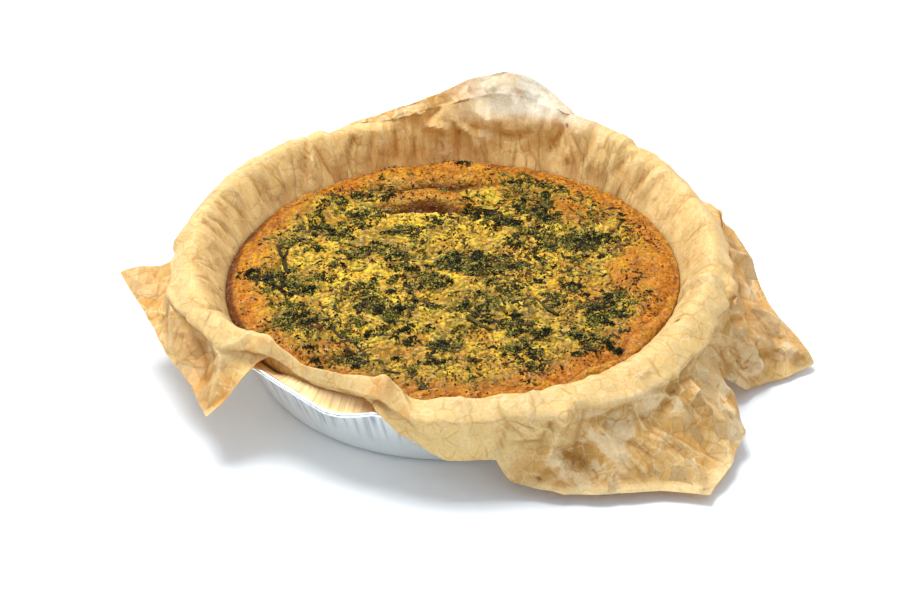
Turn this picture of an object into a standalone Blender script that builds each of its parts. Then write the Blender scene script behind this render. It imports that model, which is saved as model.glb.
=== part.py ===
# A crustless broccoli quiche, baked in tan baking paper inside a round foil tin.
# Metres, +Z up, origin at the middle of the tin's base on the surface it stands on.
# +X is the right of the picture and +Y points away from it.
# Azimuths are in degrees from +X, anticlockwise seen from above, so 270 faces the camera.

import math
import random

import bmesh
import bpy
from mathutils import Matrix, Vector, noise

MM = 0.001

# Foil tin, a common nine inch pie tin
RIM_RADIUS = 114 * MM
RIM_HEIGHT = 37.4 * MM
FLANGE_WIDTH = 8.5 * MM
BASE_RADIUS = 91 * MM
BASE_ROUNDING = 3 * MM
BASE_RING_RADIUS = 74 * MM
BASE_RING_WIDTH = 5 * MM
BASE_RING_DEPTH = 0.6 * MM
LIP_DEPTH = 3 * MM
LIP_ROUNDING = 0.8 * MM
LIP_LEAN = 0.4 * MM
FLANGE_DROP = 0.3 * MM
FOIL = 0.6 * MM
PLEAT_DEPTH = 0.3 * MM
PLEAT_UNEVENNESS = 0.4
CRIMP_DEPTH = 0.25 * MM

# Baking paper
PAPER = 0.8 * MM
PAPER_GAP = 0.3 * MM
PAPER_FLOOR = BASE_RING_DEPTH + FOIL + PAPER_GAP + PAPER / 2
PAPER_WALL_TOP = 39 * MM
PAPER_CORNER_INSET = 4 * MM
PAPER_CORNER_RISE = 2.5 * MM
EDGE_ABOVE_FLANGE = 1.2 * MM
LARGEST_TUCK = 9 * MM
TUCK_SHARE = 0.3
TUCK_LEAN = 0.15
CREASE = 0.5 * MM
CRUMPLE = 1.3 * MM
CRUMPLE_LOWEST = 8 * MM
CRUMPLE_CLEARANCE = 4 * MM
# how far along the section each ring of points lies, and where the crumpled rings start
PAPER_RINGS = (0.0, 1.0, 1.4, 1.75, 2.2, 2.6, 3.0, 3.5, 4.0, 4.33, 4.67, 5.0)
CRUMPLE_START = 3.2

# The paper collar above the tin: azimuth, then radius and height of its crest and of its outer roll
COLLAR = (
    (0, 117, 54, 125, 47),
    (20, 117, 55, 125, 49),
    (38, 116, 57, 125, 53),
    (50, 112.5, 59.5, 119, 61.5),
    (60, 109.5, 60, 114, 66),
    (75, 108, 59, 112, 70.5),
    (90, 107.6, 57, 110.5, 65.5),
    (104, 107.8, 55.5, 110.8, 60.5),
    (115, 110.5, 57, 115.5, 58.5),
    (127, 115.5, 57.5, 124.5, 54),
    (140, 116, 58, 127, 53),
    (160, 117, 57, 127, 51),
    (180, 117, 55, 127, 49),
    (200, 116, 54, 126, 48),
    (214, 110, 52.5, 118, 47.5),
    (221, 105.8, 53, 111.5, 49),
    (227, 104.8, 50.5, 107.6, 46.5),
    (232, 104.6, 47.4, 106.8, 43.4),
    (239, 104.6, 48.6, 107.2, 44),
    (247, 104.8, 50, 108.2, 45.8),
    (252, 105, 50.6, 111.5, 47.2),
    (255, 105.2, 51.6, 113.4, 47),
    (258, 105.4, 45.5, 115, 43.6),
    (261, 105.6, 42.4, 115.6, 41),
    (270, 105.5, 44, 115.8, 39.8),
    (282, 106.5, 43.5, 116.5, 39.5),
    (290, 109, 43, 118, 39.5),
    (300, 112, 45, 123, 41),
    (315, 115, 46, 125.5, 40),
    (330, 116, 49, 126, 42),
    (345, 116.5, 52, 125.5, 45),
)

# Corners of the paper's cut edge, joined by straight cuts: azimuth, radius and height
CUT_EDGE = (
    (0, 141, 26),
    (10, 137, 36),
    (20, 129, 43),
    (30, 127, 34),
    (45, 124, 30),
    (53, 123, 54),
    (60, 119, 66.5),
    (65, 118, 75),
    (70, 117.5, 81),
    (76, 118, 82),
    (85, 116.5, 77.5),
    (92, 115, 70.6),
    (105, 114.5, 63.8),
    (115, 118, 58),
    (126, 126, 42),
    (140, 125, 28),
    (160, 125, 27),
    (172, 131, 37),
    (180, 150, 44),
    (220, 137, 24),
    (221.3, 126, 34),
    (222, 117.5, 44.5),
    (223.5, 110, 46),
    (227, 106.8, 41),
    (232, 106.6, 39.4),
    (236, 106.8, 39.6),
    (240, 107.4, 40.2),
    (246, 107.6, 41.8),
    (250, 108, 43.4),
    (252.5, 112, 43),
    (253.6, 115.4, 42),
    (255, 116.4, 40),
    (258.5, 117, 32.5),
    (263, 117, 27),
    (268, 117.5, 21),
    (278, 118, 20.5),
    (279, 119, 15),
    (280.5, 121, 10),
    (290, 129, 2.5),
    (298, 137, 2.5),
    (305, 147, 2.5),
    (310, 162, 2.5),
    (317, 158, 6),
    (324, 152, 9),
    (330, 142, 12),
    (334, 127, 19),
    (338, 139, 6),
    (345, 153, 2.5),
    (350, 166, 3),
    (355, 149, 17),
)

# Quiche
QUICHE_GAP = 0.4 * MM
QUICHE_TOP = 38.2 * MM
QUICHE_EDGE_HEIGHT = 36.8 * MM
QUICHE_ROUNDING = 5 * MM
QUICHE_CORNER_INSET = 4 * MM
QUICHE_CORNER_RISE = 2 * MM
# radius of each ring of points on the top, as a share of the edge's
QUICHE_RINGS = (0, 0.09, 0.18, 0.27, 0.36, 0.45, 0.54, 0.62, 0.70, 0.78, 0.85, 0.91, 0.955, 0.985)
RIM_LOBE = 2.2 * MM
RIM_LOBE_RADIUS = 89 * MM
RIM_LOBE_WIDTH = 10 * MM
RIM_LOBES = 11
RIM_LOBE_UNEVENNESS = 0.35
CRAG = 1.3 * MM
CRAG_SIZE = 9 * MM

# Puffed swellings of the top: x, y, half length, half width, turn in degrees, height
SWELLINGS = (
    (-10, 84, 38, 12, 0, 4.5),
    (-12, 64, 25, 6, -4, 4.5),
    (86, -6, 24, 15, 95, 3.5),
    (57, 50, 14, 10, -40, 3),
    (-56, -59, 13, 8, 10, 2.8),
    (-90, -27, 15, 11, 110, 2.4),
    (-89, 15, 14, 10, 75, 2.6),
    (-66, 58, 20, 10, 40, 2.4),
    (-4, -96, 16, 5, 0, 2.2),
    (62, -83, 30, 5, 37, 2.4),
    (84, -56, 20, 5, 55, 2.2),
)
CRACK = (-10, 56, 24, 2.4, -4, -2.2)

# Baked-in pieces that stand out of the top
BIT_SEED = 31
CRUMB_COUNT = 94
CRUMB_RADIUS = (1.5 * MM, 2.8 * MM)
CRUMB_FIELD = 88 * MM
CRUMB_SPACING = 6.5 * MM
CLUMP_CRUMB_RADIUS = 3.2 * MM
CRUMB_UNEVENNESS = (0.8, 1.15)
CRUMB_LENGTH = (0.9, 1.5)
CRUMB_HEIGHT = (0.6, 0.9)
CRUMB_SUNK = 0.1

# Dark clumps of broccoli florets: x and y of each
CLUMPS = (
    (-97, 3), (-86, -4), (-74, -13), (-66, -10),
    (2, 12), (10, 2), (14, 12), (64, -32), (70, -26),
    (62, 23), (54, 26), (58, -59), (65, -63), (71, -66),
    (-4, -57), (-40, 20), (24, 46), (-30, -30),
)

# Stems: x and y of both ends, and radius
STEMS = (
    (-79, 27, -75, 4, 2.2),
    (37, -29, 53, -46, 1.3),
    (6, -48, 15, -55, 1.3),
    (40, 60, 44, 44, 1.8),
    (-20, -14, 0, -20, 1.0),
)
STEM_SIDES = 7
STEM_TAPER = 0.75
STEM_SUNK = 0.3

# Leaf strips that stand half out of the top: x and y of both ends, and width
LEAVES = (
    (9, 66, 33, 47, 5),
    (-48, -28, -34, -46, 4),
    (-24, 62, -10, 74, 3.5),
)
LEAF_THICKNESS = 1.2 * MM
LEAF_WAVE = 1 * MM
LEAF_WAVES = 9
LEAF_LEAN = 0.3
LEAF_SUNK = 0.15

STEPS = 72


def wall_radius(height):
    """Outer radius of the tin's flared wall."""
    share = height / (RIM_HEIGHT - FOIL)
    return BASE_RADIUS + share * (RIM_RADIUS - FLANGE_WIDTH - BASE_RADIUS)


def paper_wall_radius(height):
    """Radius of the paper's middle surface where it lines the tin."""
    return wall_radius(height) - FOIL - PLEAT_DEPTH - PAPER_GAP - PAPER / 2


def quiche_wall_radius(height):
    return paper_wall_radius(height) - PAPER / 2 - QUICHE_GAP


def smooth_round(rows, azimuth):
    """Values of the rows at an azimuth, on a smooth closed curve through them."""
    count = len(rows)
    after = next((i for i, row in enumerate(rows) if row[0] > azimuth), count)
    picked = []
    for k in range(after - 2, after + 2):
        turn = 360 * (k // count)
        row = rows[k % count]
        picked.append((row[0] + turn, row[1:]))
    (a0, v0), (a1, v1), (a2, v2), (a3, v3) = picked
    t = (azimuth - a1) / (a2 - a1)
    found = []
    for p0, p1, p2, p3 in zip(v0, v1, v2, v3):
        slope1 = (p2 - p0) / (a2 - a0) * (a2 - a1)
        slope2 = (p3 - p1) / (a3 - a1) * (a2 - a1)
        found.append(
            p1 * (2 * t**3 - 3 * t**2 + 1)
            + slope1 * (t**3 - 2 * t**2 + t)
            + p2 * (3 * t**2 - 2 * t**3)
            + slope2 * (t**3 - t**2)
        )
    return [value * MM for value in found]


def cut_edge(azimuth):
    """Radius and height of the paper's edge, on straight cuts between its corners."""
    corners = list(CUT_EDGE) + [(CUT_EDGE[0][0] + 360,) + CUT_EDGE[0][1:]]
    for (a0, r0, z0), (a1, r1, z1) in zip(corners, corners[1:]):
        if a0 <= azimuth <= a1:
            break
    before = math.radians(azimuth - a0)
    beyond = math.radians(a1 - azimuth)
    share = r0 * math.sin(before) / (r0 * math.sin(before) + r1 * math.sin(beyond))
    radius = r0 * math.sin(before + beyond) * r1 / (
        r0 * math.sin(before) + r1 * math.sin(beyond)
    )
    return radius * MM, (z0 + share * (z1 - z0)) * MM


def through(points, t):
    """Point at t on a smooth curve through the points, t counting from the second one."""
    i = min(int(t), len(points) - 4)
    u = t - i
    p0, p1, p2, p3 = points[i : i + 4]
    return 0.5 * (
        2 * p1
        + u * (p2 - p0)
        + u * u * (2 * p0 - 5 * p1 + 4 * p2 - p3)
        + u**3 * (3 * p1 - p0 - 3 * p2 + p3)
    )


def paper_section(azimuth):
    """The paper's section from the tin's wall to its cut edge, as (radius, height) points."""
    crest_r, crest_z, roll_r, roll_z = smooth_round(COLLAR, azimuth)
    edge_r, edge_z = cut_edge(azimuth)
    tuck = max(-LARGEST_TUCK, min(LARGEST_TUCK, TUCK_SHARE * (roll_z - edge_z)))
    tuck_r = roll_r + TUCK_LEAN * (edge_r - roll_r - tuck)
    if roll_z - tuck < RIM_HEIGHT + EDGE_ABOVE_FLANGE:
        tuck_r = max(tuck_r, RIM_RADIUS + PAPER_GAP + PAPER)
    half = 0.5 * PAPER_WALL_TOP
    points = [
        Vector((paper_wall_radius(half), half)),
        Vector((paper_wall_radius(PAPER_WALL_TOP), PAPER_WALL_TOP)),
        Vector((crest_r, crest_z)),
        Vector((roll_r, roll_z)),
        Vector((tuck_r, roll_z - tuck)),
        Vector((edge_r, edge_z)),
    ]
    points.append(2 * points[-1] - points[-2])
    return points


def hash_noise(*keys):
    """A fixed number from -1 to 1 for each set of whole numbers."""
    value = math.sin(sum(k * w for k, w in zip(keys, (12.9898, 78.233, 37.719)))) * 43758.5453
    return 2 * (value - math.floor(value)) - 1


def new_collection(name):
    found = bpy.data.collections.new(name)
    bpy.context.scene.collection.children.link(found)
    return found


def make_material(name, colour, roughness, metallic=0.0):
    material = bpy.data.materials.new(name)
    material.use_nodes = True
    shader = material.node_tree.nodes["Principled BSDF"]
    shader.inputs["Base Color"].default_value = (*colour, 1)
    shader.inputs["Roughness"].default_value = roughness
    shader.inputs["Metallic"].default_value = metallic
    material.diffuse_color = (*colour, 1)
    return material


def apply_modifiers(obj):
    bpy.context.view_layer.objects.active = obj
    for modifier in list(obj.modifiers):
        bpy.ops.object.modifier_apply(modifier=modifier.name)


def turned(name, profile, collection):
    """A profile of (radius, height) points turned about Z."""
    mesh = bpy.data.meshes.new(name)
    points = [(radius, 0, height) for radius, height in profile]
    mesh.from_pydata(points, [(i, i + 1) for i in range(len(points) - 1)], [])
    obj = bpy.data.objects.new(name, mesh)
    collection.objects.link(obj)
    screw = obj.modifiers.new("Turn", "SCREW")
    screw.steps = STEPS
    screw.render_steps = STEPS
    screw.use_merge_vertices = True
    screw.merge_threshold = 0.01 * MM
    apply_modifiers(obj)
    return obj


def shade_round(obj, degrees=40):
    obj.data.shade_smooth()
    obj.data.set_sharp_from_angle(angle=math.radians(degrees))


def place_of(point):
    """Azimuth in degrees, rounded to its step, and radius of a mesh point."""
    step = round(math.atan2(point.y, point.x) / (2 * math.pi) * STEPS) % STEPS
    return step * 360 / STEPS, math.hypot(point.x, point.y)


def at(azimuth, radius, height):
    angle = math.radians(azimuth)
    return Vector((radius * math.cos(angle), radius * math.sin(angle), height))


def make_tin(collection):
    """The tin's outer surface, wrinkled like pressed foil and given the foil's thickness inwards."""
    wall_top = RIM_HEIGHT - FOIL
    flange_inner = RIM_RADIUS - FLANGE_WIDTH
    lip = RIM_RADIUS - FOIL
    profile = [
        (0, 0),
        (BASE_RING_RADIUS - BASE_RING_WIDTH / 2, 0),
        (BASE_RING_RADIUS, BASE_RING_DEPTH),
        (BASE_RING_RADIUS + BASE_RING_WIDTH / 2, 0),
        (BASE_RADIUS - BASE_ROUNDING, 0),
        (wall_radius(BASE_ROUNDING), BASE_ROUNDING),
        (wall_radius(0.5 * wall_top), 0.5 * wall_top),
        (flange_inner, wall_top - FLANGE_DROP),
        (lip - LIP_ROUNDING, wall_top),
        (lip, wall_top - LIP_ROUNDING),
        (lip - LIP_LEAN, wall_top - LIP_DEPTH),
    ]
    tin = turned("foil_tin", profile, collection)
    for vertex in tin.data.vertices:
        azimuth, radius = place_of(vertex.co)
        step = round(azimuth * STEPS / 360)
        side = 1 if step % 2 else -1
        height = vertex.co.z
        if BASE_ROUNDING < height < wall_top - MM and radius < flange_inner:
            radius += side * PLEAT_DEPTH * (1 + PLEAT_UNEVENNESS * (hash_noise(step) - 1))
        elif radius >= flange_inner and height > wall_top - LIP_ROUNDING / 2:
            height += side * CRIMP_DEPTH / 2
        vertex.co = at(azimuth, radius, height)
    thicken(tin, FOIL, -1)
    return tin


def thicken(obj, thickness, offset):
    """Gives an open surface a wall, after turning its faces so that the middle one faces down."""
    mesh = bmesh.new()
    mesh.from_mesh(obj.data)
    bmesh.ops.recalc_face_normals(mesh, faces=mesh.faces)
    middle = min(mesh.faces, key=lambda face: face.calc_center_median().xy.length)
    if middle.normal.z > 0:
        bmesh.ops.reverse_faces(mesh, faces=mesh.faces)
    mesh.to_mesh(obj.data)
    mesh.free()
    solidify = obj.modifiers.new("Thickness", "SOLIDIFY")
    solidify.thickness = thickness
    solidify.offset = offset


def make_paper(collection):
    """One sheet: a flat round grid pressed into the tin, then out over its rim to the cut edge."""
    corner = paper_wall_radius(BASE_ROUNDING)
    lining = [
        (0, PAPER_FLOOR),
        (corner - PAPER_CORNER_INSET, PAPER_FLOOR),
        (corner, PAPER_FLOOR + PAPER_CORNER_RISE),
    ]
    flat = [(i * MM, 0) for i in range(len(lining) + len(PAPER_RINGS) - 1)]
    paper = turned("baking_paper", flat, collection)
    for vertex in paper.data.vertices:
        azimuth, ring = place_of(vertex.co)
        ring = round(ring / MM)
        step = round(azimuth * STEPS / 360)
        if ring < len(lining):
            radius, height = lining[ring]
        else:
            along = PAPER_RINGS[ring - len(lining) + 1]
            points = paper_section(azimuth)
            if along < 1:
                radius, height = points[0].lerp(points[1], along)
            else:
                radius, height = through(points, along - 1)
                fold = min(1, along - 1) * (1 if step % 2 else -1)
                radius += CREASE * fold
                free = height > CRUMPLE_LOWEST and radius > RIM_RADIUS + CRUMPLE_CLEARANCE
                if along > CRUMPLE_START and free:
                    height += CRUMPLE * hash_noise(step, ring)
        vertex.co = at(azimuth, radius, height)
    thicken(paper, PAPER, 0)
    return paper


def swelling(x, y, row):
    """Height that one rounded swelling adds at x, y."""
    centre_x, centre_y, half_length, half_width, turn, height = row
    angle = math.radians(turn)
    dx = x - centre_x * MM
    dy = y - centre_y * MM
    along = (dx * math.cos(angle) + dy * math.sin(angle)) / (half_length * MM)
    across = (dy * math.cos(angle) - dx * math.sin(angle)) / (half_width * MM)
    inside = 1 - along**2 - across**2
    return height * MM * inside * (2 - inside) if inside > 0 else 0


def quiche_top(x, y):
    """Height of the baked top at x, y: a puffed rim, swellings, a crack and an uneven middle."""
    radius = math.hypot(x, y)
    angle = math.atan2(y, x)
    edge = quiche_wall_radius(QUICHE_EDGE_HEIGHT)
    lobes = 1 + RIM_LOBE_UNEVENNESS * (math.sin(RIM_LOBES * angle + 2 * math.sin(3 * angle)) - 1)
    ring = RIM_LOBE * lobes * math.exp(-(((radius - RIM_LOBE_RADIUS) / RIM_LOBE_WIDTH) ** 2))
    rolling = CRAG * noise.noise(Vector((x, y, 0)) / CRAG_SIZE)
    raised = max(swelling(x, y, row) for row in SWELLINGS)
    height = QUICHE_TOP + ring + rolling + raised + swelling(x, y, CRACK)
    inwards = min(1, (edge - radius) / QUICHE_ROUNDING)
    if inwards < 1:
        drop = 1 - math.sqrt(1 - (1 - max(0, inwards)) ** 2)
        height -= drop * (height - QUICHE_EDGE_HEIGHT)
    return height


def make_quiche_core(collection):
    bottom = PAPER_FLOOR + PAPER / 2 + PAPER_GAP
    edge = quiche_wall_radius(QUICHE_EDGE_HEIGHT)
    top = [(edge * share, QUICHE_TOP) for share in QUICHE_RINGS]
    side = [
        (edge, QUICHE_EDGE_HEIGHT),
        (quiche_wall_radius(0.5 * QUICHE_TOP), 0.5 * QUICHE_TOP),
        (quiche_wall_radius(BASE_ROUNDING), bottom + QUICHE_CORNER_RISE),
        (quiche_wall_radius(BASE_ROUNDING) - QUICHE_CORNER_INSET, bottom),
        (0, bottom),
    ]
    core = turned("quiche", top + side, collection)
    for vertex in core.data.vertices:
        if vertex.co.z > (QUICHE_EDGE_HEIGHT + QUICHE_TOP) / 2:
            vertex.co.z = quiche_top(vertex.co.x, vertex.co.y)
    mesh = bmesh.new()
    mesh.from_mesh(core.data)
    bmesh.ops.recalc_face_normals(mesh, faces=mesh.faces)
    mesh.to_mesh(core.data)
    mesh.free()
    return core


def on_top(x, y, sunk):
    return Vector((x, y, quiche_top(x, y) - sunk))


def link_mesh(name, mesh, collection):
    data = bpy.data.meshes.new(name)
    mesh.to_mesh(data)
    mesh.free()
    obj = bpy.data.objects.new(name, data)
    collection.objects.link(obj)
    obj.hide_render = True
    obj.display_type = "WIRE"
    return obj


def make_crumb(name, x, y, radius, rng, collection):
    """A low lump of broccoli or browned custard, half sunk in the top."""
    mesh = bmesh.new()
    bmesh.ops.create_icosphere(mesh, subdivisions=1, radius=radius)
    for vertex in mesh.verts:
        vertex.co *= rng.uniform(*CRUMB_UNEVENNESS)
    crumb = link_mesh(name, mesh, collection)
    stretch = Matrix.Diagonal((rng.uniform(*CRUMB_LENGTH), 1, rng.uniform(*CRUMB_HEIGHT), 1))
    turn = Matrix.Rotation(rng.uniform(0, math.tau), 4, "Z")
    middle = on_top(x, y, CRUMB_SUNK * radius)
    crumb.data.transform(Matrix.Translation(middle) @ turn @ stretch)
    return crumb


def make_stem(name, row, collection):
    x0, y0, x1, y1, radius = (value * MM for value in row)
    start = on_top(x0, y0, STEM_SUNK * radius)
    end = on_top(x1, y1, STEM_SUNK * radius)
    mesh = bmesh.new()
    bmesh.ops.create_cone(
        mesh,
        cap_ends=True,
        segments=STEM_SIDES,
        radius1=radius,
        radius2=STEM_TAPER * radius,
        depth=(end - start).length,
    )
    stem = link_mesh(name, mesh, collection)
    turn = (end - start).to_track_quat("Z", "Y").to_matrix().to_4x4()
    stem.data.transform(Matrix.Translation((start + end) / 2) @ turn)
    return stem


def make_leaf(name, row, collection):
    """A thin wavy strip standing on its long edge."""
    x0, y0, x1, y1, width = (value * MM for value in row)
    length = math.hypot(x1 - x0, y1 - y0)
    mesh = bmesh.new()
    bmesh.ops.create_grid(mesh, x_segments=8, y_segments=1, size=0.5)
    for vertex in mesh.verts:
        along = vertex.co.x
        wave = LEAF_WAVE * math.sin(LEAF_WAVES * along)
        rise = width * vertex.co.y
        vertex.co = Vector((length * along, wave + LEAF_LEAN * rise, rise))
    leaf = link_mesh(name, mesh, collection)
    solidify = leaf.modifiers.new("Thickness", "SOLIDIFY")
    solidify.thickness = LEAF_THICKNESS
    apply_modifiers(leaf)
    middle = on_top((x0 + x1) / 2, (y0 + y1) / 2, LEAF_SUNK * width)
    turn = Matrix.Rotation(math.atan2(y1 - y0, x1 - x0), 4, "Z")
    leaf.data.transform(Matrix.Translation(middle) @ turn)
    return leaf


def scattered(rng, count, field, spacing, taken):
    """Seeded places inside a round field, none nearer than spacing to another."""
    places = list(taken)
    first = len(places)
    while len(places) < first + count:
        radius = field * math.sqrt(rng.random())
        angle = rng.uniform(0, math.tau)
        x = radius * math.cos(angle)
        y = radius * math.sin(angle)
        if all(math.hypot(x - u, y - v) > spacing for u, v in places):
            places.append((x, y))
    return places[first:]


def stem_places():
    """Points along the stems and leaves that crumbs keep clear of."""
    for x0, y0, x1, y1, _ in STEMS + LEAVES:
        for share in (0, 0.33, 0.67, 1):
            yield ((x0 + share * (x1 - x0)) * MM, (y0 + share * (y1 - y0)) * MM)


def make_bits(collection):
    rng = random.Random(BIT_SEED)
    clumps = [(x * MM, y * MM) for x, y in CLUMPS]
    for i, (x, y) in enumerate(clumps):
        make_crumb(f"floret_{i}", x, y, CLUMP_CRUMB_RADIUS, rng, collection)
    taken = clumps + list(stem_places())
    for i, (x, y) in enumerate(scattered(rng, CRUMB_COUNT, CRUMB_FIELD, CRUMB_SPACING, taken)):
        make_crumb(f"crumb_{i}", x, y, rng.uniform(*CRUMB_RADIUS), rng, collection)
    for i, row in enumerate(STEMS):
        make_stem(f"stem_{i}", row, collection)
    for i, row in enumerate(LEAVES):
        make_leaf(f"leaf_{i}", row, collection)


def fuse(core, bits):
    """Unites the core with its baked-in bits, which are then removed."""
    union = core.modifiers.new("Baked in", "BOOLEAN")
    union.operation = "UNION"
    union.operand_type = "COLLECTION"
    union.collection = bits
    union.solver = "MANIFOLD"
    apply_modifiers(core)
    for obj in list(bits.objects):
        bpy.data.objects.remove(obj)
    bpy.data.collections.remove(bits)
    drop_scraps(core)


def drop_scraps(obj):
    """Keeps only the largest of an object's loose bodies."""
    mesh = bmesh.new()
    mesh.from_mesh(obj.data)
    unseen = set(mesh.verts)
    bodies = []
    while unseen:
        body = {unseen.pop()}
        front = list(body)
        while front:
            for edge in front.pop().link_edges:
                for vertex in edge.verts:
                    if vertex in unseen:
                        unseen.remove(vertex)
                        body.add(vertex)
                        front.append(vertex)
        bodies.append(body)
    largest = max(bodies, key=len)
    scraps = [vertex for body in bodies if body is not largest for vertex in body]
    bmesh.ops.delete(mesh, geom=scraps, context="VERTS")
    mesh.to_mesh(obj.data)
    mesh.free()


def main():
    for obj in list(bpy.data.objects):
        bpy.data.objects.remove(obj)
    whole = new_collection("quiche_in_tin")
    bits = new_collection("baked_in_bits")

    tin = make_tin(whole)
    tin.data.materials.append(make_material("foil", (0.75, 0.77, 0.79), 0.3, 1.0))
    shade_round(tin)

    paper = make_paper(whole)
    paper.data.materials.append(make_material("baking_paper", (0.70, 0.49, 0.26), 0.55))
    shade_round(paper, 25)

    quiche = make_quiche_core(whole)
    make_bits(bits)
    fuse(quiche, bits)
    quiche.data.materials.append(make_material("baked_custard", (0.50, 0.28, 0.05), 0.5))
    shade_round(quiche, 35)


main()
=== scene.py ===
import itertools
import math

import bpy
import numpy as np
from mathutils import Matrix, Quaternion, Vector


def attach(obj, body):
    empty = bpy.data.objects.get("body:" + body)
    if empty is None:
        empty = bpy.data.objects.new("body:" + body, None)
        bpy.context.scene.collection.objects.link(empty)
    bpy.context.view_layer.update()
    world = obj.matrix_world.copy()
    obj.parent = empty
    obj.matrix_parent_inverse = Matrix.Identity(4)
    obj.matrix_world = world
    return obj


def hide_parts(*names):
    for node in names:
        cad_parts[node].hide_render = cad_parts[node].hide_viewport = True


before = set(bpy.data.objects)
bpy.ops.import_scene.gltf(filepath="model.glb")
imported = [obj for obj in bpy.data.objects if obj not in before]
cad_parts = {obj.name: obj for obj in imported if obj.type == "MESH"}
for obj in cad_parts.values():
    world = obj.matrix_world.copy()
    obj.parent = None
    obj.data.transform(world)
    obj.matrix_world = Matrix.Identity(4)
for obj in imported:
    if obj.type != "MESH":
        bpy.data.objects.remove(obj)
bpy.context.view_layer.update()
mm = 0.001

# camera

cameraView = {
    "place": (0.0035, -0.839, 0.572),
    "aim": (0.0035, 0.0, 0.02),
    "rollDegrees": -1.599,
    "lens": 85,
    "sensor": 36,
}


def addCamera(view):
    bpy.ops.object.camera_add(location=view["place"])
    camera = bpy.context.object
    camera.name = "camera"
    camera.data.lens = view["lens"]
    camera.data.sensor_width = view["sensor"]
    look = (Vector(view["aim"]) - Vector(view["place"])).to_track_quat("-Z", "Y")
    roll = Quaternion((0, 0, 1), math.radians(view["rollDegrees"]))
    camera.rotation_euler = (look @ roll).to_euler()
    bpy.context.scene.camera = camera


addCamera(cameraView)


# node helpers

def addNode(tree, kind, values=(), **settings):
    found = tree.nodes.new(kind)
    for name, value in settings.items():
        setattr(found, name, value)
    for socket, value in dict(values).items():
        feed(tree, found.inputs[socket], value)
    return found


def feed(tree, socket, value):
    # a socket is linked, anything else becomes the socket's own value
    if isinstance(value, bpy.types.NodeSocket):
        tree.links.new(value, socket)
    elif socket.type == "RGBA" and len(value) == 3:
        socket.default_value = (*value, 1)
    else:
        socket.default_value = value


def mixColours(tree, factor, first, second, blend="MIX"):
    found = addNode(tree, "ShaderNodeMix", data_type="RGBA", blend_type=blend)
    feed(tree, found.inputs[0], factor)
    feed(tree, found.inputs[6], first)
    feed(tree, found.inputs[7], second)
    return found.outputs[2]


def calculate(tree, operation, first, second=0.0, clamp=False):
    found = addNode(tree, "ShaderNodeMath", operation=operation, use_clamp=clamp)
    feed(tree, found.inputs[0], first)
    feed(tree, found.inputs[1], second)
    return found.outputs[0]


def multiply(tree, first, second, clamp=False):
    return calculate(tree, "MULTIPLY", first, second, clamp)


def tint(tree, colour, above, mask, share):
    # lays another colour over a colour by a share of a mask
    return mixColours(tree, multiply(tree, mask, share), colour, above)


def rescale(tree, value, low, high, toLow=0.0, toHigh=1.0):
    return addNode(tree, "ShaderNodeMapRange", {
        "Value": value, "From Min": low, "From Max": high, "To Min": toLow, "To Max": toHigh,
    }).outputs[0]


def noise(tree, place, scale, detail, **more):
    return addNode(tree, "ShaderNodeTexNoise", {
        "Vector": place, "Scale": scale, "Detail": detail, **more,
    }).outputs[0]


def colourRamp(tree, value, stops):
    found = addNode(tree, "ShaderNodeValToRGB", {"Fac": value})
    ramp = found.color_ramp
    while len(ramp.elements) < len(stops):
        ramp.elements.new(1)
    for element, (place, colour) in zip(ramp.elements, stops):
        element.position = place
        element.color = (*colour, 1)
    return found.outputs[0]


def objectPlace(tree):
    return addNode(tree, "ShaderNodeTexCoord").outputs["Object"]


def attributeOf(tree, name):
    return addNode(tree, "ShaderNodeAttribute", attribute_name=name).outputs["Fac"]


def cells(tree, place, sizeMm, feature="F1", output="Distance"):
    return addNode(tree, "ShaderNodeTexVoronoi", {
        "Vector": place, "Scale": 1000 / sizeMm,
    }, feature=feature).outputs[output]


def makeMottleGroup():
    # uneven patches of one size, as a mask from 0 to 1
    group = bpy.data.node_groups.new("mottle", "ShaderNodeTree")
    for name, kind, value in (
        ("Place", "NodeSocketVector", None),
        ("Patch size in mm", "NodeSocketFloat", 10.0),
        ("Fineness", "NodeSocketFloat", 3.0),
        ("Low", "NodeSocketFloat", 0.4),
        ("High", "NodeSocketFloat", 0.6),
    ):
        socket = group.interface.new_socket(name=name, in_out="INPUT", socket_type=kind)
        if value is not None:
            socket.default_value = value
    group.interface.new_socket(name="Mask", in_out="OUTPUT", socket_type="NodeSocketFloat")
    inputs = group.nodes.new("NodeGroupInput")
    outputs = group.nodes.new("NodeGroupOutput")
    scale = calculate(group, "DIVIDE", 1000.0, inputs.outputs["Patch size in mm"])
    cloud = addNode(group, "ShaderNodeTexNoise", {
        "Vector": inputs.outputs["Place"], "Scale": scale, "Detail": inputs.outputs["Fineness"],
    }).outputs[0]
    mask = rescale(group, cloud, inputs.outputs["Low"], inputs.outputs["High"])
    group.links.new(mask, outputs.inputs["Mask"])
    return group


mottleGroup = makeMottleGroup()


def mottle(tree, place, sizeMm, low=0.4, high=0.6, fineness=3.0):
    found = addNode(tree, "ShaderNodeGroup", node_tree=mottleGroup)
    for socket, value in (("Place", place), ("Patch size in mm", sizeMm),
                          ("Fineness", fineness), ("Low", low), ("High", high)):
        feed(tree, found.inputs[socket], value)
    return found.outputs["Mask"]


def newFinish(name, values):
    material = bpy.data.materials.new(name)
    material.use_nodes = True
    tree = material.node_tree
    shader = tree.nodes["Principled BSDF"]
    for socket, value in values.items():
        feed(tree, shader.inputs[socket], value)
    return material, tree, shader


def addBump(tree, shader, height, strength, distanceMm, below=None):
    values = {"Height": height, "Strength": strength, "Distance": distanceMm * mm}
    if below is not None:
        values["Normal"] = below
    normal = addNode(tree, "ShaderNodeBump", values).outputs[0]
    feed(tree, shader.inputs["Normal"], normal)
    return normal


# floor and lights

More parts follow.
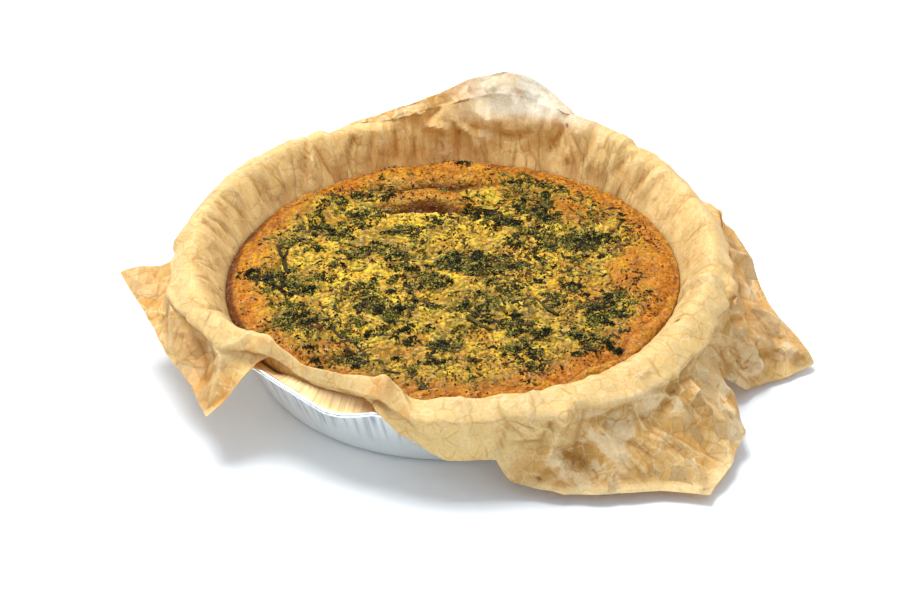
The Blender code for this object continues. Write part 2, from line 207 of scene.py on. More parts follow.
studio = {
    "floorSize": 8,
    "floorDrop": 0.0003,
    "floorColour": (0.875, 0.925, 0.975),
    "brightWay": (-0.06, 0.55, 0.75),  # the room is bright above and behind, and dimmer in front
    "brightRange": (-0.45, 0.85),
    "dimFill": 0.17,
    "fill": 0.95,
    "fillColour": (0.96, 0.985, 1.0),
    "keyPlace": (-0.32, 0.28, 1.5),
    "keySize": 0.9,
    "keyPower": 27,
    "frontPlace": (0.3, -1.2, 1.0),
    "frontSize": 1.2,
    "frontPower": 3,
}


def addFloor(values):
    bpy.ops.mesh.primitive_plane_add(size=values["floorSize"], location=(0, 0, -values["floorDrop"]))
    floor = bpy.context.object
    floor.name = "floor"
    material, tree, shader = newFinish("pale studio floor", {"Roughness": 0.9})
    shade = mottle(tree, objectPlace(tree), 900, 0.3, 0.7)
    whiter = tuple(min(1, 1.01 * part) for part in values["floorColour"])
    feed(tree, shader.inputs["Base Color"], mixColours(tree, shade, values["floorColour"], whiter))
    floor.data.materials.append(material)


def addAreaLight(name, place, size, power):
    bpy.ops.object.light_add(type="AREA", location=place)
    light = bpy.context.object
    light.name = name
    light.data.shape = "DISK"
    light.data.size = size
    light.data.energy = power
    light.rotation_euler = (-Vector(place)).to_track_quat("-Z", "Y").to_euler()


def lightStudio(values):
    world = bpy.context.scene.world or bpy.data.worlds.new("studio")
    bpy.context.scene.world = world
    world.use_nodes = True
    tree = world.node_tree
    outwards = addNode(tree, "ShaderNodeTexCoord").outputs["Generated"]
    way = addNode(tree, "ShaderNodeSeparateXYZ", {"Vector": outwards}).outputs
    side, back, lift = (multiply(tree, way[k], share) for k, share in enumerate(values["brightWay"]))
    total = calculate(tree, "ADD", calculate(tree, "ADD", back, lift), side)
    strength = rescale(tree, total, *values["brightRange"], values["dimFill"], values["fill"])
    background = tree.nodes["Background"]
    background.inputs["Color"].default_value = (*values["fillColour"], 1)
    feed(tree, background.inputs["Strength"], strength)
    addAreaLight("key light", values["keyPlace"], values["keySize"], values["keyPower"])
    addAreaLight("front light", values["frontPlace"], values["frontSize"], values["frontPower"])
    bpy.context.scene.view_settings.view_transform = "Standard"


addFloor(studio)
lightStudio(studio)
print("camera, floor and lights set")


# small calculations that several pieces share; lengths in mm

def softNoise(points, size, seed=0):
    # smooth noise from -1 to 1 at each row of points
    spot = np.asarray(points, float) / size
    cell = np.floor(spot).astype(np.int64)
    part = spot - cell
    ease = part * part * (3 - 2 * part)
    total = np.zeros(len(spot))
    for corner in itertools.product((0, 1), repeat=spot.shape[1]):
        weight = np.ones(len(spot))
        for axis, side in enumerate(corner):
            weight = weight * (ease[:, axis] if side else 1 - ease[:, axis])
        total += weight * cellValue(cell + np.array(corner), seed)
    return total


def cellValue(cell, seed):
    # a fixed number from -1 to 1 for each whole-number cell
    mixed = cell @ np.array([374761393, 668265263, 974634777])[: cell.shape[1]] + seed * 144665
    mixed = (mixed ^ (mixed >> 13)) * 1274126177
    mixed = (mixed ^ (mixed >> 16)) & 0xFFFFFF
    return mixed / 0x7FFFFF - 1


def cellDistance(points, size, seed=0):
    # distance to the nearest of scattered cell centres, in cell sizes
    spot = np.asarray(points, float) / size
    home = np.floor(spot).astype(np.int64)
    nearest = np.full(len(spot), 9.0)
    for step in itertools.product((-1, 0, 1), repeat=spot.shape[1]):
        cell = home + np.array(step)
        away = np.zeros(len(spot))
        for axis in range(spot.shape[1]):
            centre = cell[:, axis] + 0.5 + 0.42 * cellValue(cell, seed + 7 * axis + 1)
            away += (spot[:, axis] - centre) ** 2
        nearest = np.minimum(nearest, np.sqrt(away))
    return nearest


def creasedNoise(points, size, seed, turn):
    # random heights joined by flat facets, so the surface has crisp creases
    angle = math.radians(turn)
    mixer = np.array([[math.cos(angle), -math.sin(angle), 0.3],
                      [math.sin(angle), math.cos(angle), -0.4], [-0.35, 0.3, 1]])
    spot = (points + 0.10 * size * np.stack([softNoise(points, 1.3 * size, seed + k) for k in (1, 2, 3)],
                                            axis=1)) @ mixer / size
    cell = np.floor(spot).astype(np.int64)
    part = spot - cell
    order = np.argsort(-part, axis=1)
    line = np.arange(len(spot))
    before = cellValue(cell, seed)
    total = before.copy()
    for rank in range(3):
        axis = order[:, rank]
        cell = cell.copy()
        cell[line, axis] += 1
        after = cellValue(cell, seed)
        total += part[line, axis] * (after - before)
        before = after
    return total


def smoothStep(low, high, value):
    share = np.clip((value - low) / (high - low), 0, 1)
    return share * share * (3 - 2 * share)


def band(value, start, full, fade, end):
    # rises from start to full, and falls again from fade to end
    return smoothStep(start, full, value) * smoothStep(end, fade, value)


def roundAngle(difference):
    return (difference + 180) % 360 - 180


# a grid wrapped round Z: columns go round, rows go out from the middle

def addWrappedGrid(name, columns, rows):
    bpy.ops.mesh.primitive_grid_add(x_subdivisions=columns, y_subdivisions=rows, size=2)
    piece = bpy.context.object
    piece.name = name
    places = readPlaces(piece)
    column = np.round((places[:, 0] + 1) / 2 * columns).astype(int)
    row = np.round((places[:, 1] + 1) / 2 * rows).astype(int)
    return piece, column, row


def readPlaces(piece):
    places = np.empty(len(piece.data.vertices) * 3)
    piece.data.vertices.foreach_get("co", places)
    return places.reshape(-1, 3)


def writePlaces(piece, placesMm):
    piece.data.vertices.foreach_set("co", (placesMm * mm).ravel())
    piece.data.update()


def closeSeams(piece):
    # joins the seam and the middle, then turns the faces of the base downwards
    bpy.context.view_layer.objects.active = piece
    bpy.ops.object.mode_set(mode="EDIT")
    bpy.ops.mesh.select_all(action="SELECT")
    bpy.ops.mesh.remove_doubles(threshold=0.00001)
    bpy.ops.mesh.normals_make_consistent(inside=False)
    bpy.ops.object.mode_set(mode="OBJECT")
    middle = min(piece.data.polygons, key=lambda face: face.center.xy.length)
    if middle.normal.z > 0:
        bpy.ops.object.mode_set(mode="EDIT")
        bpy.ops.mesh.flip_normals()
        bpy.ops.object.mode_set(mode="OBJECT")


def addWall(piece, thicknessMm, offset):
    solidify = piece.modifiers.new("wall", "SOLIDIFY")
    solidify.thickness = thicknessMm * mm
    solidify.offset = offset
    bpy.context.view_layer.objects.active = piece
    bpy.ops.object.modifier_apply(modifier="wall")


def writeAttribute(piece, name, values):
    attribute = piece.data.attributes.new(name, "FLOAT", "POINT")
    attribute.data.foreach_set("value", np.ascontiguousarray(values, dtype=np.float32))


def pickOnly(piece):
    bpy.ops.object.select_all(action="DESELECT")
    piece.select_set(True)
    bpy.context.view_layer.objects.active = piece


def smoothShade(piece):
    pickOnly(piece)
    bpy.ops.object.shade_smooth()


def takeShape(piece):
    # the places and faces of a pattern for copies, which goes again itself
    places = readPlaces(piece)
    faces = [tuple(face.vertices) for face in piece.data.polygons]
    bpy.data.objects.remove(piece)
    return places, faces


# foil tin

tin = {
    "rimRadius": 114,
    "rimHeight": 37.4,
    "flangeWidth": 8.5,
    "baseRadius": 91,
    "foil": 0.6,  # thickness in the solid
    "wall": 0.16,
    "columns": 1080,
    "seed": 5,
    "wrinkles": 208,
    "wrinkleShift": 1.1,
    "wrinkleLean": 0.9,
    "wrinkleDepth": (0.3, 0.9),
    "wrinkleWidth": (0.5, 0.95),
    "wrinkleStart": (4, 14),
    "wrinkleFade": 14,
    "dents": ((0.35, 14, 3), (0.16, 5, 4)),  # height, size and seed
    "crimps": 300,
    "crimpDepth": 0.26,
    "flangeLift": 3.2,
    "rimWave": ((0, 0), (198, 0), (211, 1.5), (221.7, 4.2), (226.6, 3.6), (232, 2.3), (236, 0.4),
                (241, -2.3), (244.5, -2.0), (248, -0.3), (252.2, 2.5), (257, 2.2), (267, 0.5),
                (278, 0), (360, 0)),
    "colour": (0.97, 1.0, 1.0),
    "dullShare": 0.95,
    "grooveShadeColour": (0.33, 0.39, 0.46),
    "flangeReflectionColour": (0.97, 0.78, 0.46),
    "crimpShadeColour": (0.74, 0.57, 0.34),
    "roughness": 0.42,
    "flangeRoughness": 0.40,
}


def tinWallRadius(height):
    top = tin["rimHeight"] - tin["foil"]
    grow = tin["rimRadius"] - tin["flangeWidth"] - tin["baseRadius"]
    return tin["baseRadius"] + height / top * grow


def tinProfile():
    # outer surface from the middle of the base to the end of the rolled rim
    base = [(0, 0), (60, 0), (71.5, 0), (73.2, 0.6), (74.8, 0.6),
            (76.5, 0), (88, 0), (90, 0.3), (91.4, 1.5)]
    wall = [(tinWallRadius(z), z) for z in np.linspace(3, 35.6, 15)]
    flange = [(105.3, 36.2), (106, 36.65), (107, 36.75), (109, 36.75), (110.6, 36.75), (111.4, 36.8)]
    bead = [(112.85 + 0.95 * math.cos(math.radians(a)), 36.45 + 0.9 * math.sin(math.radians(a)))
            for a in range(150, -151, -30)]
    return base + wall + flange + bead


def makeTin():
    profile = np.array(tinProfile())
    piece, column, row = addWrappedGrid("foil_tin_pressed", tin["columns"], len(profile) - 1)
    azimuth = column * 360 / tin["columns"]
    radius, height = profile[row].T.copy()
    middleRadius = 98  # halfway up the wall
    rng = np.random.default_rng(tin["seed"])
    onWall = smoothStep(2, 9, height) * (radius < 106.2)
    dents = np.zeros(len(radius))
    # painted shade: a dark line along every wrinkle of the wall, and in the flange's crimps
    grooveShade = np.zeros(len(radius))
    for turn in np.linspace(0, 360, tin["wrinkles"], endpoint=False):
        middle = turn + rng.uniform(-tin["wrinkleShift"], tin["wrinkleShift"])
        lean = rng.uniform(-tin["wrinkleLean"], tin["wrinkleLean"])
        depth = rng.uniform(*tin["wrinkleDepth"]) * rng.choice((-1, -1, 1))
        width = rng.uniform(*tin["wrinkleWidth"])
        start = rng.uniform(*tin["wrinkleStart"])
        away = np.radians(roundAngle(azimuth - middle - lean * height / 36)) * middleRadius
        line = np.exp(-((away / width) ** 2)) * smoothStep(start, start + tin["wrinkleFade"], height)
        dents += depth * line
        grooveShade = np.maximum(grooveShade, line * rng.uniform(0.25, 1))
    angle = np.radians(azimuth)
    around = np.stack([middleRadius * np.cos(angle), middleRadius * np.sin(angle), height], axis=1)
    dents += sum(rise * softNoise(around, size, seed) for rise, size, seed in tin["dents"])
    radius += onWall * dents * smoothStep(36.4, 30, height)
    flange = smoothStep(106, 107, radius) * (height > 36)
    wave = np.abs(np.sin(angle * tin["crimps"] / 2 + 0.8 * softNoise(around, 20, 8)))
    height += flange * tin["crimpDepth"] * (wave - 0.6) * smoothStep(112.4, 111, radius)
    grooveShade = np.maximum(grooveShade, flange * smoothStep(0.45, 0.1, wave) * smoothStep(112, 111, radius))
    onFlange = flange * smoothStep(112.4, 111.6, radius)
    radius += flange * 0.12 * softNoise(around, 9, 6)
    height = np.maximum(height, 0)
    # the soft rim is bent up and down where it shows at the front left
    wave = np.interp(azimuth, *np.array(tin["rimWave"]).T)
    height += wave * smoothStep(104.8, 112.5, radius) * smoothStep(30, 35, height)
    lift = tin["flangeLift"] * band(azimuth, 223, 230, 248, 254)
    height += lift * smoothStep(30, 36, height) * smoothStep(112, 105.5, radius)
    writePlaces(piece, np.stack([radius * np.cos(angle), radius * np.sin(angle), height], axis=1))
    writeAttribute(piece, "grooveShade", grooveShade * smoothStep(36.9, 35.5, height * (1 - onFlange)))
    writeAttribute(piece, "flange", onFlange)
    closeSeams(piece)
    addWall(piece, tin["wall"], -1)
    smoothShade(piece)
    piece.data.materials.append(tinFinish())
    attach(piece, "root")
    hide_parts("foil_tin")


def tinFinish():
    material, tree, shader = newFinish("pressed foil", {"Metallic": 1.0})
    place = objectPlace(tree)
    duller = tuple(tin["dullShare"] * part for part in tin["colour"])
    colour = mixColours(tree, mottle(tree, place, 9, 0.35, 0.65), tin["colour"], duller)
    onFlange = attributeOf(tree, "flange")
    # painted reflection: the flange is tinted with the tan of the paper it mirrors
    colour = mixColours(tree, onFlange, colour, tin["flangeReflectionColour"])
    # painted shade in the wall's wrinkles and the flange's crimps
    low = mixColours(tree, onFlange, tin["grooveShadeColour"], tin["crimpShadeColour"])
    colour = tint(tree, colour, low, attributeOf(tree, "grooveShade"), 0.85)
    feed(tree, shader.inputs["Base Color"], colour)
    rough = rescale(tree, mottle(tree, place, 3, 0.3, 0.7), 0, 1,
                    tin["roughness"] - 0.06, tin["roughness"] + 0.08)
    rough = calculate(tree, "ADD", rough, multiply(tree, onFlange, tin["flangeRoughness"]))
    feed(tree, shader.inputs["Roughness"], rough)
    addBump(tree, shader, noise(tree, place, 420.0, 4.0), 0.35, 0.3)
    return material


makeTin()
print("tin done")


# baking paper

paper = {
    "gap": 0.3,
    "sheet": 0.8,  # thickness in the solid
    "pleat": 0.3,
    "floor": 1.9,
    "wallTop": 39,
    "largestTuck": 9,
    "tuckShare": 0.3,
    "edgeAboveFlange": 1.2,
    "columns": 680,
    "outerRows": 40,
    "wall": 0.15,  # thickness that shows
    "fineWrinkle": 0.5,
    "fineWrinkleSize": 2.6,
    "collarPleat": 1.0,
    "pleats": ((1, 0.8, 13, 2), (0.5, 0.8, 6, 3)),  # share, ground level, size and seed
    "backPleats": ((1.7, 0.6, 9, 7), (0.8, 0.6, 4.5, 8)),
    "crumple": 2.2,
    "looseCrumples": ((1, 27, 4, 20), (0.62, 14, 14, 65), (0.30, 7.5, 24, 110)),  # and turn
    "collarCrumples": ((0.7, 19, 34, 40), (0.35, 9, 44, 80)),
    "shoulderAlong": (0.95, 1.5, 2.8, 4.2),
    "looseAlong": (2.9, 3.8),
    "backAzimuth": 88,
    "backReach": (62, 40),
    "creases": 150,
    "creaseSeed": 11,
    "facets": ((13, 0.8, 1.1), (6.5, 0.7, 0.8)),  # size, height of the bump, strength of the painted light and shade
    "crispAngle": 16,
    "flatSize": (0.33, 0.33),
    "colour": (0.975, 0.79, 0.365),
    "deepToneAndShadeColour": (0.66, 0.35, 0.07),
    "highlightColour": (0.98, 0.84, 0.50),
    "throughLightColour": (0.98, 0.95, 0.86),
    "stainAndShadeColour": (0.72, 0.34, 0.06),
    "darkBrownColour": (0.50, 0.225, 0.05),
    "sheenColour": (0.99, 0.86, 0.56),
    "speckColour": (0.16, 0.05, 0.01),
    "glowColour": (1.0, 0.55, 0.18),
    "roughness": 0.45,
    "translucence": (0.32, 0.6),  # of plain and of pale paper
}

# azimuth, then radius and height of the collar's crest and of its outer roll
collarRows = (
    (0, 117, 54, 125, 47), (20, 117, 55, 125, 49), (38, 116, 57, 125, 53), (50, 112.5, 59.5, 119, 61.5),
    (60, 109.5, 60, 114, 66), (75, 108, 59, 112, 70.5), (90, 107.6, 57, 110.5, 65.5),
    (104, 107.8, 55.5, 110.8, 60.5), (115, 110.5, 57, 115.5, 58.5), (127, 115.5, 57.5, 124.5, 54),
    (140, 116, 58, 127, 53), (160, 117, 57, 127, 51),
    (180, 117, 55, 127, 49), (200, 116, 54, 126, 48), (214, 110, 52.5, 118, 47.5),
    (221, 105.8, 53, 111.5, 49), (227, 104.8, 50.5, 107.6, 46.5), (232, 104.6, 47.4, 106.8, 43.4),
    (239, 104.6, 48.6, 107.2, 44), (247, 104.8, 50, 108.2, 45.8), (252, 105, 50.6, 111.5, 47.2),
    (255, 105.2, 51.6, 113.4, 47), (258, 105.4, 45.5, 115, 43.6), (261, 105.6, 42.4, 115.6, 41),
    (270, 105.5, 44, 115.8, 39.8),
    (282, 106.5, 43.5, 116.5, 39.5), (290, 109, 43, 118, 39.5), (300, 112, 45, 123, 41),
    (315, 115, 46, 125.5, 40), (330, 116, 49, 126, 42), (345, 116.5, 52, 125.5, 45),
)

# azimuth, radius and height of the corners of the cut edge
edgeRows = (
    (0, 141, 26), (10, 137, 36), (20, 129, 43), (30, 127, 34), (45, 124, 30), (53, 123, 54),
    (60, 119, 66.5), (65, 118, 75), (70, 117.5, 81), (76, 118, 82), (85, 116.5, 77.5), (92, 115, 70.6),
    (105, 114.5, 63.8), (115, 118, 58), (126, 126, 42), (140, 125, 28), (160, 125, 27),
    (172, 126, 29.5), (176.6, 127.5, 31.5), (177.4, 129.8, 33.5), (178.4, 139.5, 36.5),
    (179.3, 151.6, 42.5),
    (220, 137, 24), (221.3, 126, 34), (222, 117.5, 44.5),
    (223.5, 109, 46.2), (227, 106.2, 42.6), (232, 106.2, 41.0), (236, 106.4, 41.0), (240, 106.9, 41.5),
    (246, 107.2, 42.9), (250, 107.8, 44.4), (252.5, 112, 43.6), (253.6, 115.4, 42), (255, 116.4, 40),
    (258.5, 117, 32.5), (263, 117, 27), (268, 117.5, 21), (278, 118, 20.5), (279, 119, 15),
    (280.5, 121, 10), (290, 129, 2.5), (298, 137, 2.5), (305, 147, 2.5), (310, 162, 2.5),
    (317, 158, 6), (324, 152, 9), (330, 142, 12), (334, 127, 19), (338, 139, 6),
    (345, 153, 2.5), (350, 166, 3), (355, 149, 17),
)

# folds in the paper: azimuth and place along the section of each point, then width and height
# along the section 1 is the top of the tin's wall, 2 the crest, 3 the roll, 5 the cut edge
namedFolds = (
    # left of the collar
    (((170, 2.22), (168, 1.8), (167, 1.32), (167, 0.98)), 2.6, -1.3),
    (((166, 2.02), (164, 1.5), (164, 1.2)), 2.2, -0.9),
    (((174, 2.3), (172, 1.3)), 3.0, 1.0),
    (((185, 2.1), (182, 1.5), (179, 1.1)), 2.2, -0.8),
    (((190, 1.9), (187, 1.05)), 2.0, -0.7),
    (((200, 2.5), (203, 2.1), (202, 1.6), (199, 1.1)), 2.8, -1.6),
    (((205, 2.4), (206, 1.3)), 4.0, 1.2),
    (((158, 2.2), (155, 1.1)), 2.4, -0.8),
    (((147, 2.3), (146, 1.1)), 2.4, -0.9),
    (((140, 2.6), (137, 1.2)), 3.2, 0.9),
    (((126, 2.38), (128, 1.72), (131, 1.15)), 3.0, -1.5),
    (((122, 2.6), (120, 1.2)), 3.0, 0.9),
    # left flap
    (((175, 3.0), (173, 2.5)), 4.5, 2.0),
    (((205, 3.08), (210, 4.0), (212, 4.36)), 3.4, -1.8),
    (((214, 3.14), (217, 2.6), (218, 1.98)), 3.0, 1.6),
    (((202, 4.0), (208, 4.4), (214, 4.9)), 9.0, -4.0),
    (((210, 3.2), (215, 4.2), (219, 5.0)), 5.0, 2.6),
    (((190, 3.3), (196, 4.2), (204, 5.0)), 5.0, 2.2),
    (((184, 3.4), (186, 4.2), (189, 5.0)), 5.0, -1.6),
    # pinch at the front left
    (((252, 1.5), (254, 2.1), (255, 2.9)), 3.0, 1.5),
    (((256, 2.0), (260, 2.7), (263, 3.4)), 3.0, 1.6),
    (((257, 3.2), (262, 4.4)), 4.5, -1.4),
    # front drape
    (((270, 2.2), (272, 3.6), (273, 4.8)), 5.0, 1.1),
    (((279, 2.4), (281, 3.6), (278, 4.9)), 5.0, -1.1),
    (((286, 2.1), (285, 3.0)), 3.0, 1.2),
    (((293, 2.62), (291, 4.0), (288, 4.52), (286, 4.7)), 4.2, 3.6),
    (((297, 2.8), (296, 3.8), (292, 4.8)), 7.0, -1.4),
    # front right flap
    (((320, 3.9), (321, 4.6), (323, 5.0)), 5.0, 3.6),
    (((303, 3.7), (308, 4.16), (312, 4.42), (316, 4.85)), 9.0, -3.4),
    (((308, 4.2), (314, 4.66), (316, 4.9)), 4.0, 2.6),
    (((298, 4.0), (300, 4.3), (301, 4.62)), 3.4, 2.6),
    (((301, 4.4), (304, 4.7), (304, 4.85)), 2.4, 1.7),
    (((307, 4.32), (310, 4.46)), 2.4, 1.6),
    (((289, 4.4), (292, 4.62), (294, 4.84)), 3.0, 2.2),
    (((291, 4.35), (295, 4.6), (297, 4.8)), 2.6, -1.6),
    (((322, 3.9), (320, 4.26)), 2.4, 1.8),
    (((318, 3.16), (318, 4.12)), 3.0, 2.2),
    (((310, 2.56), (313, 2.48)), 2.4, 1.2),
    (((308, 3.4), (312, 3.8), (317, 4.15)), 3.0, 2.2),
    (((324, 3.7), (327, 4.4), (330, 4.9)), 3.4, 2.4),
    (((326, 1.3), (328, 2.6)), 3.0, 1.0),
    # right flap
    (((347, 0.98), (345, 1.5), (343, 2.7)), 3.5, 1.9),
    (((351, 1.1), (350, 2.6)), 4.0, -1.4),
    (((348, 3.0), (343, 4.3), (342, 5.0)), 5.0, 3.6),
    (((341, 4.0), (340, 4.7), (342, 5.0)), 5.0, -2.6),
    (((343, 4.3), (348, 4.7), (351, 5.0)), 4.4, 3.2),
    (((352, 3.2), (354, 4.2), (357, 5.0)), 6.0, -3.0),
    (((0, 3.2), (3, 4.2), (6, 5.0)), 5.0, 2.4),
    # right of the collar
    (((6, 1.05), (5, 2.4)), 2.6, -0.9),
    (((18, 1.05), (18, 2.7)), 2.8, -1.3),
    (((21, 1.1), (22, 2.6)), 3.0, 1.0),
    (((36, 1.0), (31, 2.4)), 2.8, -1.4),
    (((33, 1.0), (28, 2.4)), 3.0, 1.1),
    (((43, 1.3), (39, 2.2)), 2.4, -0.9),
    # back of the collar, right to left
    (((48, 2.2), (50, 1.6), (52, 1.05)), 3.2, 1.5),
    (((57, 1.98), (54, 1.5), (52, 1.2)), 2.6, -1.4),
    (((64, 1.2), (60, 1.9), (59, 2.4)), 3.0, -1.6),
    (((70, 3.6), (70, 1.96)), 3.2, -1.6),
    (((72, 3.6), (73, 2.2)), 3.4, 1.4),
    (((67, 2.52), (67, 4.42)), 3.0, -1.2),
    (((86, 1.92), (76, 1.62), (72, 1.56), (68, 1.8)), 3.4, -2.0),
    (((84, 2.6), (80, 2.1), (75, 2.1)), 3.4, 1.4),
    (((79, 2.5), (80, 3.8)), 3.0, -1.4),
    (((90, 2.82), (88, 2.0), (84, 1.68), (82, 1.05)), 3.0, 2.2),
    (((88, 1.9), (88, 1.0)), 3.0, -1.9),
    (((93, 1.74), (93, 0.96)), 2.4, -1.2),
    (((99, 1.82), (100, 1.0)), 2.4, -1.2),
    (((96, 1.7), (96, 1.0)), 2.6, 1.2),
    (((102, 4.86), (98, 3.5), (96, 2.1), (89, 1.8)), 3.4, 2.4),
    (((92, 3.0), (96, 2.3)), 3.0, -1.6),
    (((104, 2.6), (104, 1.56), (105, 0.96)), 3.4, -2.6),
    (((108, 3.4), (108, 1.3)), 4.0, 2.0),
    (((114, 2.04), (117, 1.52), (118, 1.1)), 2.8, -1.6),
    (((110, 2.2), (112, 1.1)), 2.4, -1.0),
    (((80, 3.0), (78, 4.9)), 5.0, 1.8),
)

# stains, and painted shade in the valleys of the flaps: azimuth, place along the section, radius,
# strength
stainAndShadeSpots = (
    (156, 1.28, 3.5, 0.9), (158, 1.08, 2.5, 0.7), (188, 4.7, 4, 0.35),
    (204, 3.7, 7, 0.45), (206, 4.3, 9, 0.7), (212, 4.7, 9, 0.75), (216, 4.84, 6, 0.6),
    (221, 2.54, 4, 0.8), (220, 2.96, 4, 0.6), (225, 3.4, 6, 0.45), (233, 2.6, 3, 0.5),
    (62, 2.2, 3, 0.5), (62, 1.6, 3.5, 0.7), (58, 1.34, 2.5, 0.9), (329, 1.76, 1.6, 1.0),
    (254, 2.5, 6, 0.8), (259, 3.0, 4, 0.7), (286, 4.8, 1.4, 1.0), (339, 4.58, 1.6, 1.0),
    (312, 4.42, 8, 0.3), (315, 4.75, 7, 0.35),
    (284, 4.6, 6, 0.4), (288, 4.72, 6, 0.4), (302, 4.68, 6, 0.4), (320, 4.5, 7, 0.5),
    (344, 4.6, 10, 0.4), (352, 4.2, 8, 0.4), (96, 2.2, 6, 0.3), (104, 1.5, 4, 0.5),
    (72, 3.9, 3, 0.5), (97, 3.0, 5, 0.35), (88, 1.4, 3, 0.3),
)
# burnt specks: azimuth and place along the section
darkSpecks = ((186, 1.06), (59, 2.18), (57, 1.3), (286, 4.8), (339, 4.58), (329, 1.76), (110, 3.0))

# whitish crackled places painted with a sheen: azimuth, place along the section, radius, strength
crackledSheenSpots = (
    (299, 4.15, 6, 1.0), (303, 4.15, 6, 0.9), (300, 4.4, 6, 1.0), (301, 4.62, 4, 0.8),
    (289.5, 4.45, 5, 0.9), (292, 4.62, 5, 1.0), (294, 4.8, 5, 0.9), (296.5, 4.65, 5, 0.7),
    (299, 4.8, 4, 0.6), (307, 3.4, 4, 0.9), (311, 3.75, 5, 1.0), (315, 4.1, 4, 0.8),
    (327, 4.45, 6, 0.9), (325, 4.65, 6, 1.0), (323, 4.88, 7, 1.0), (312, 4.7, 4, 0.9),
    (341, 4.3, 6, 0.9), (342, 4.7, 6, 0.9), (348, 4.75, 6, 0.6), (357, 4.6, 6, 0.5),
    (92, 1.35, 5, 0.8), (80, 1.8, 6, 0.5),
)


def paperWallRadius(height):
    inner = tinWallRadius(height) - tin["foil"] - paper["pleat"]
    return inner - paper["gap"] - paper["sheet"] / 2


def smoothRound(rows, azimuth):
    # a smooth closed curve through the rows
    count = len(rows)
    after = next((i for i, row in enumerate(rows) if row[0] > azimuth), count)
    near = []
    for k in range(after - 2, after + 2):
        row = rows[k % count]
        near.append((row[0] + 360 * (k // count), np.array(row[1:], float)))
    (a0, v0), (a1, v1), (a2, v2), (a3, v3) = near
    t = (azimuth - a1) / (a2 - a1)
    slope1 = (v2 - v0) / (a2 - a0) * (a2 - a1)
    slope2 = (v3 - v1) / (a3 - a1) * (a2 - a1)
    return (v1 * (2 * t**3 - 3 * t**2 + 1) + slope1 * (t**3 - 2 * t**2 + t)
            + v2 * (3 * t**2 - 2 * t**3) + slope2 * (t**3 - t**2))


def cutEdge(azimuth):
    # straight cuts between the corners, seen from above
    rows = list(edgeRows) + [(360,) + edgeRows[0][1:]]
    for (a0, r0, z0), (a1, r1, z1) in zip(rows, rows[1:]):
        if a0 <= azimuth <= a1:
            break
    before = math.radians(azimuth - a0)
    beyond = math.radians(a1 - azimuth)
    reach = r0 * math.sin(before) + r1 * math.sin(beyond)
    share = r0 * math.sin(before) / reach
    return r0 * r1 * math.sin(before + beyond) / reach, z0 + share * (z1 - z0)


def paperSection(azimuth):
    crestR, crestZ, rollR, rollZ = smoothRound(collarRows, azimuth)
    edgeR, edgeZ = cutEdge(azimuth)
    tuck = float(np.clip(paper["tuckShare"] * (rollZ - edgeZ),
                         -paper["largestTuck"], paper["largestTuck"]))
    tuckR = rollR + 0.15 * (edgeR - rollR) - 0.15 * tuck
    if rollZ - tuck < tin["rimHeight"] + paper["edgeAboveFlange"]:
        tuckR = max(tuckR, tin["rimRadius"] + paper["gap"] + paper["sheet"])
    half = paper["wallTop"] / 2
    points = [np.array(p, float) for p in (
        (paperWallRadius(half), half), (paperWallRadius(2 * half), 2 * half),
        (crestR, crestZ), (rollR, rollZ), (tuckR, rollZ - tuck), (edgeR, edgeZ))]
    return points + [2 * points[-1] - points[-2]]


def onSection(points, along):
    # straight up the tin's wall, then a smooth curve
    if along < 1:
        return points[0] + (points[1] - points[0]) * along
    return through(points, along - 1)


def through(points, t):
    i = min(int(t), len(points) - 4)
    u = t - i
    p0, p1, p2, p3 = points[i:i + 4]
    return 0.5 * (2 * p1 + u * (p2 - p0) + u * u * (2 * p0 - 5 * p1 + 4 * p2 - p3)
                  + u**3 * (3 * p1 - p0 - 3 * p2 + p3))


def sectionPlace(azimuth, along):
    radius, height = onSection(paperSection(azimuth), along)
    angle = math.radians(azimuth)
    return radius * math.cos(angle), radius * math.sin(angle), height


def columnAzimuths():
    # columns stand closer on the flaps, which are wide and have the most creases
    every = np.arange(3601) / 10
    crowd = 1 + 0.8 * (band(every, 170, 178, 218, 226)
                       + np.maximum(smoothStep(280, 288, every), smoothStep(8, 0, every)))
    done = np.concatenate([[0], np.cumsum(crowd[:-1])])
    return np.interp(np.linspace(0, done[-1], paper["columns"] + 1), done, every)


def pathOf(stops, count=5):
    # points on the paper along a fold, with azimuths taken the short way round
    found = []
    for (a0, s0), (a1, s1) in zip(stops, stops[1:]):
        turn = roundAngle(a1 - a0)
        for k in range(count):
            share = k / count
            found.append(sectionPlace((a0 + share * turn) % 360, s0 + share * (s1 - s0)))
    found.append(sectionPlace(stops[-1][0] % 360, stops[-1][1]))
    return np.array(found)


def foldShare(places, path, width):
    # 1 on the fold's line falling straight to 0 at its width, fading to nothing at its ends
    best = np.zeros(len(places))
    middle = path.mean(axis=0)
    reach = np.linalg.norm(path - middle, axis=1).max() + width
    near = np.where(np.linalg.norm(places - middle, axis=1) < reach)[0]
    if not len(near):
        return best
    spots = places[near]
    lengths = np.linalg.norm(np.diff(path, axis=0), axis=1)
    total = lengths.sum()
    done = 0
    found = np.zeros(len(near))
    for start, end, length in zip(path[:-1], path[1:], lengths):
        way = (end - start) / max(length, 1e-6)
        share = np.clip((spots - start) @ way, 0, length)
        away = np.linalg.norm(spots - start - share[:, None] * way, axis=1)
        gone = (done + share) / total
        taper = np.clip(np.minimum(gone, 1 - gone) * 5, 0.25, 1)
        found = np.maximum(found, taper * np.clip(1 - away / width, 0, 1))
        done += length
    best[near] = found
    return best


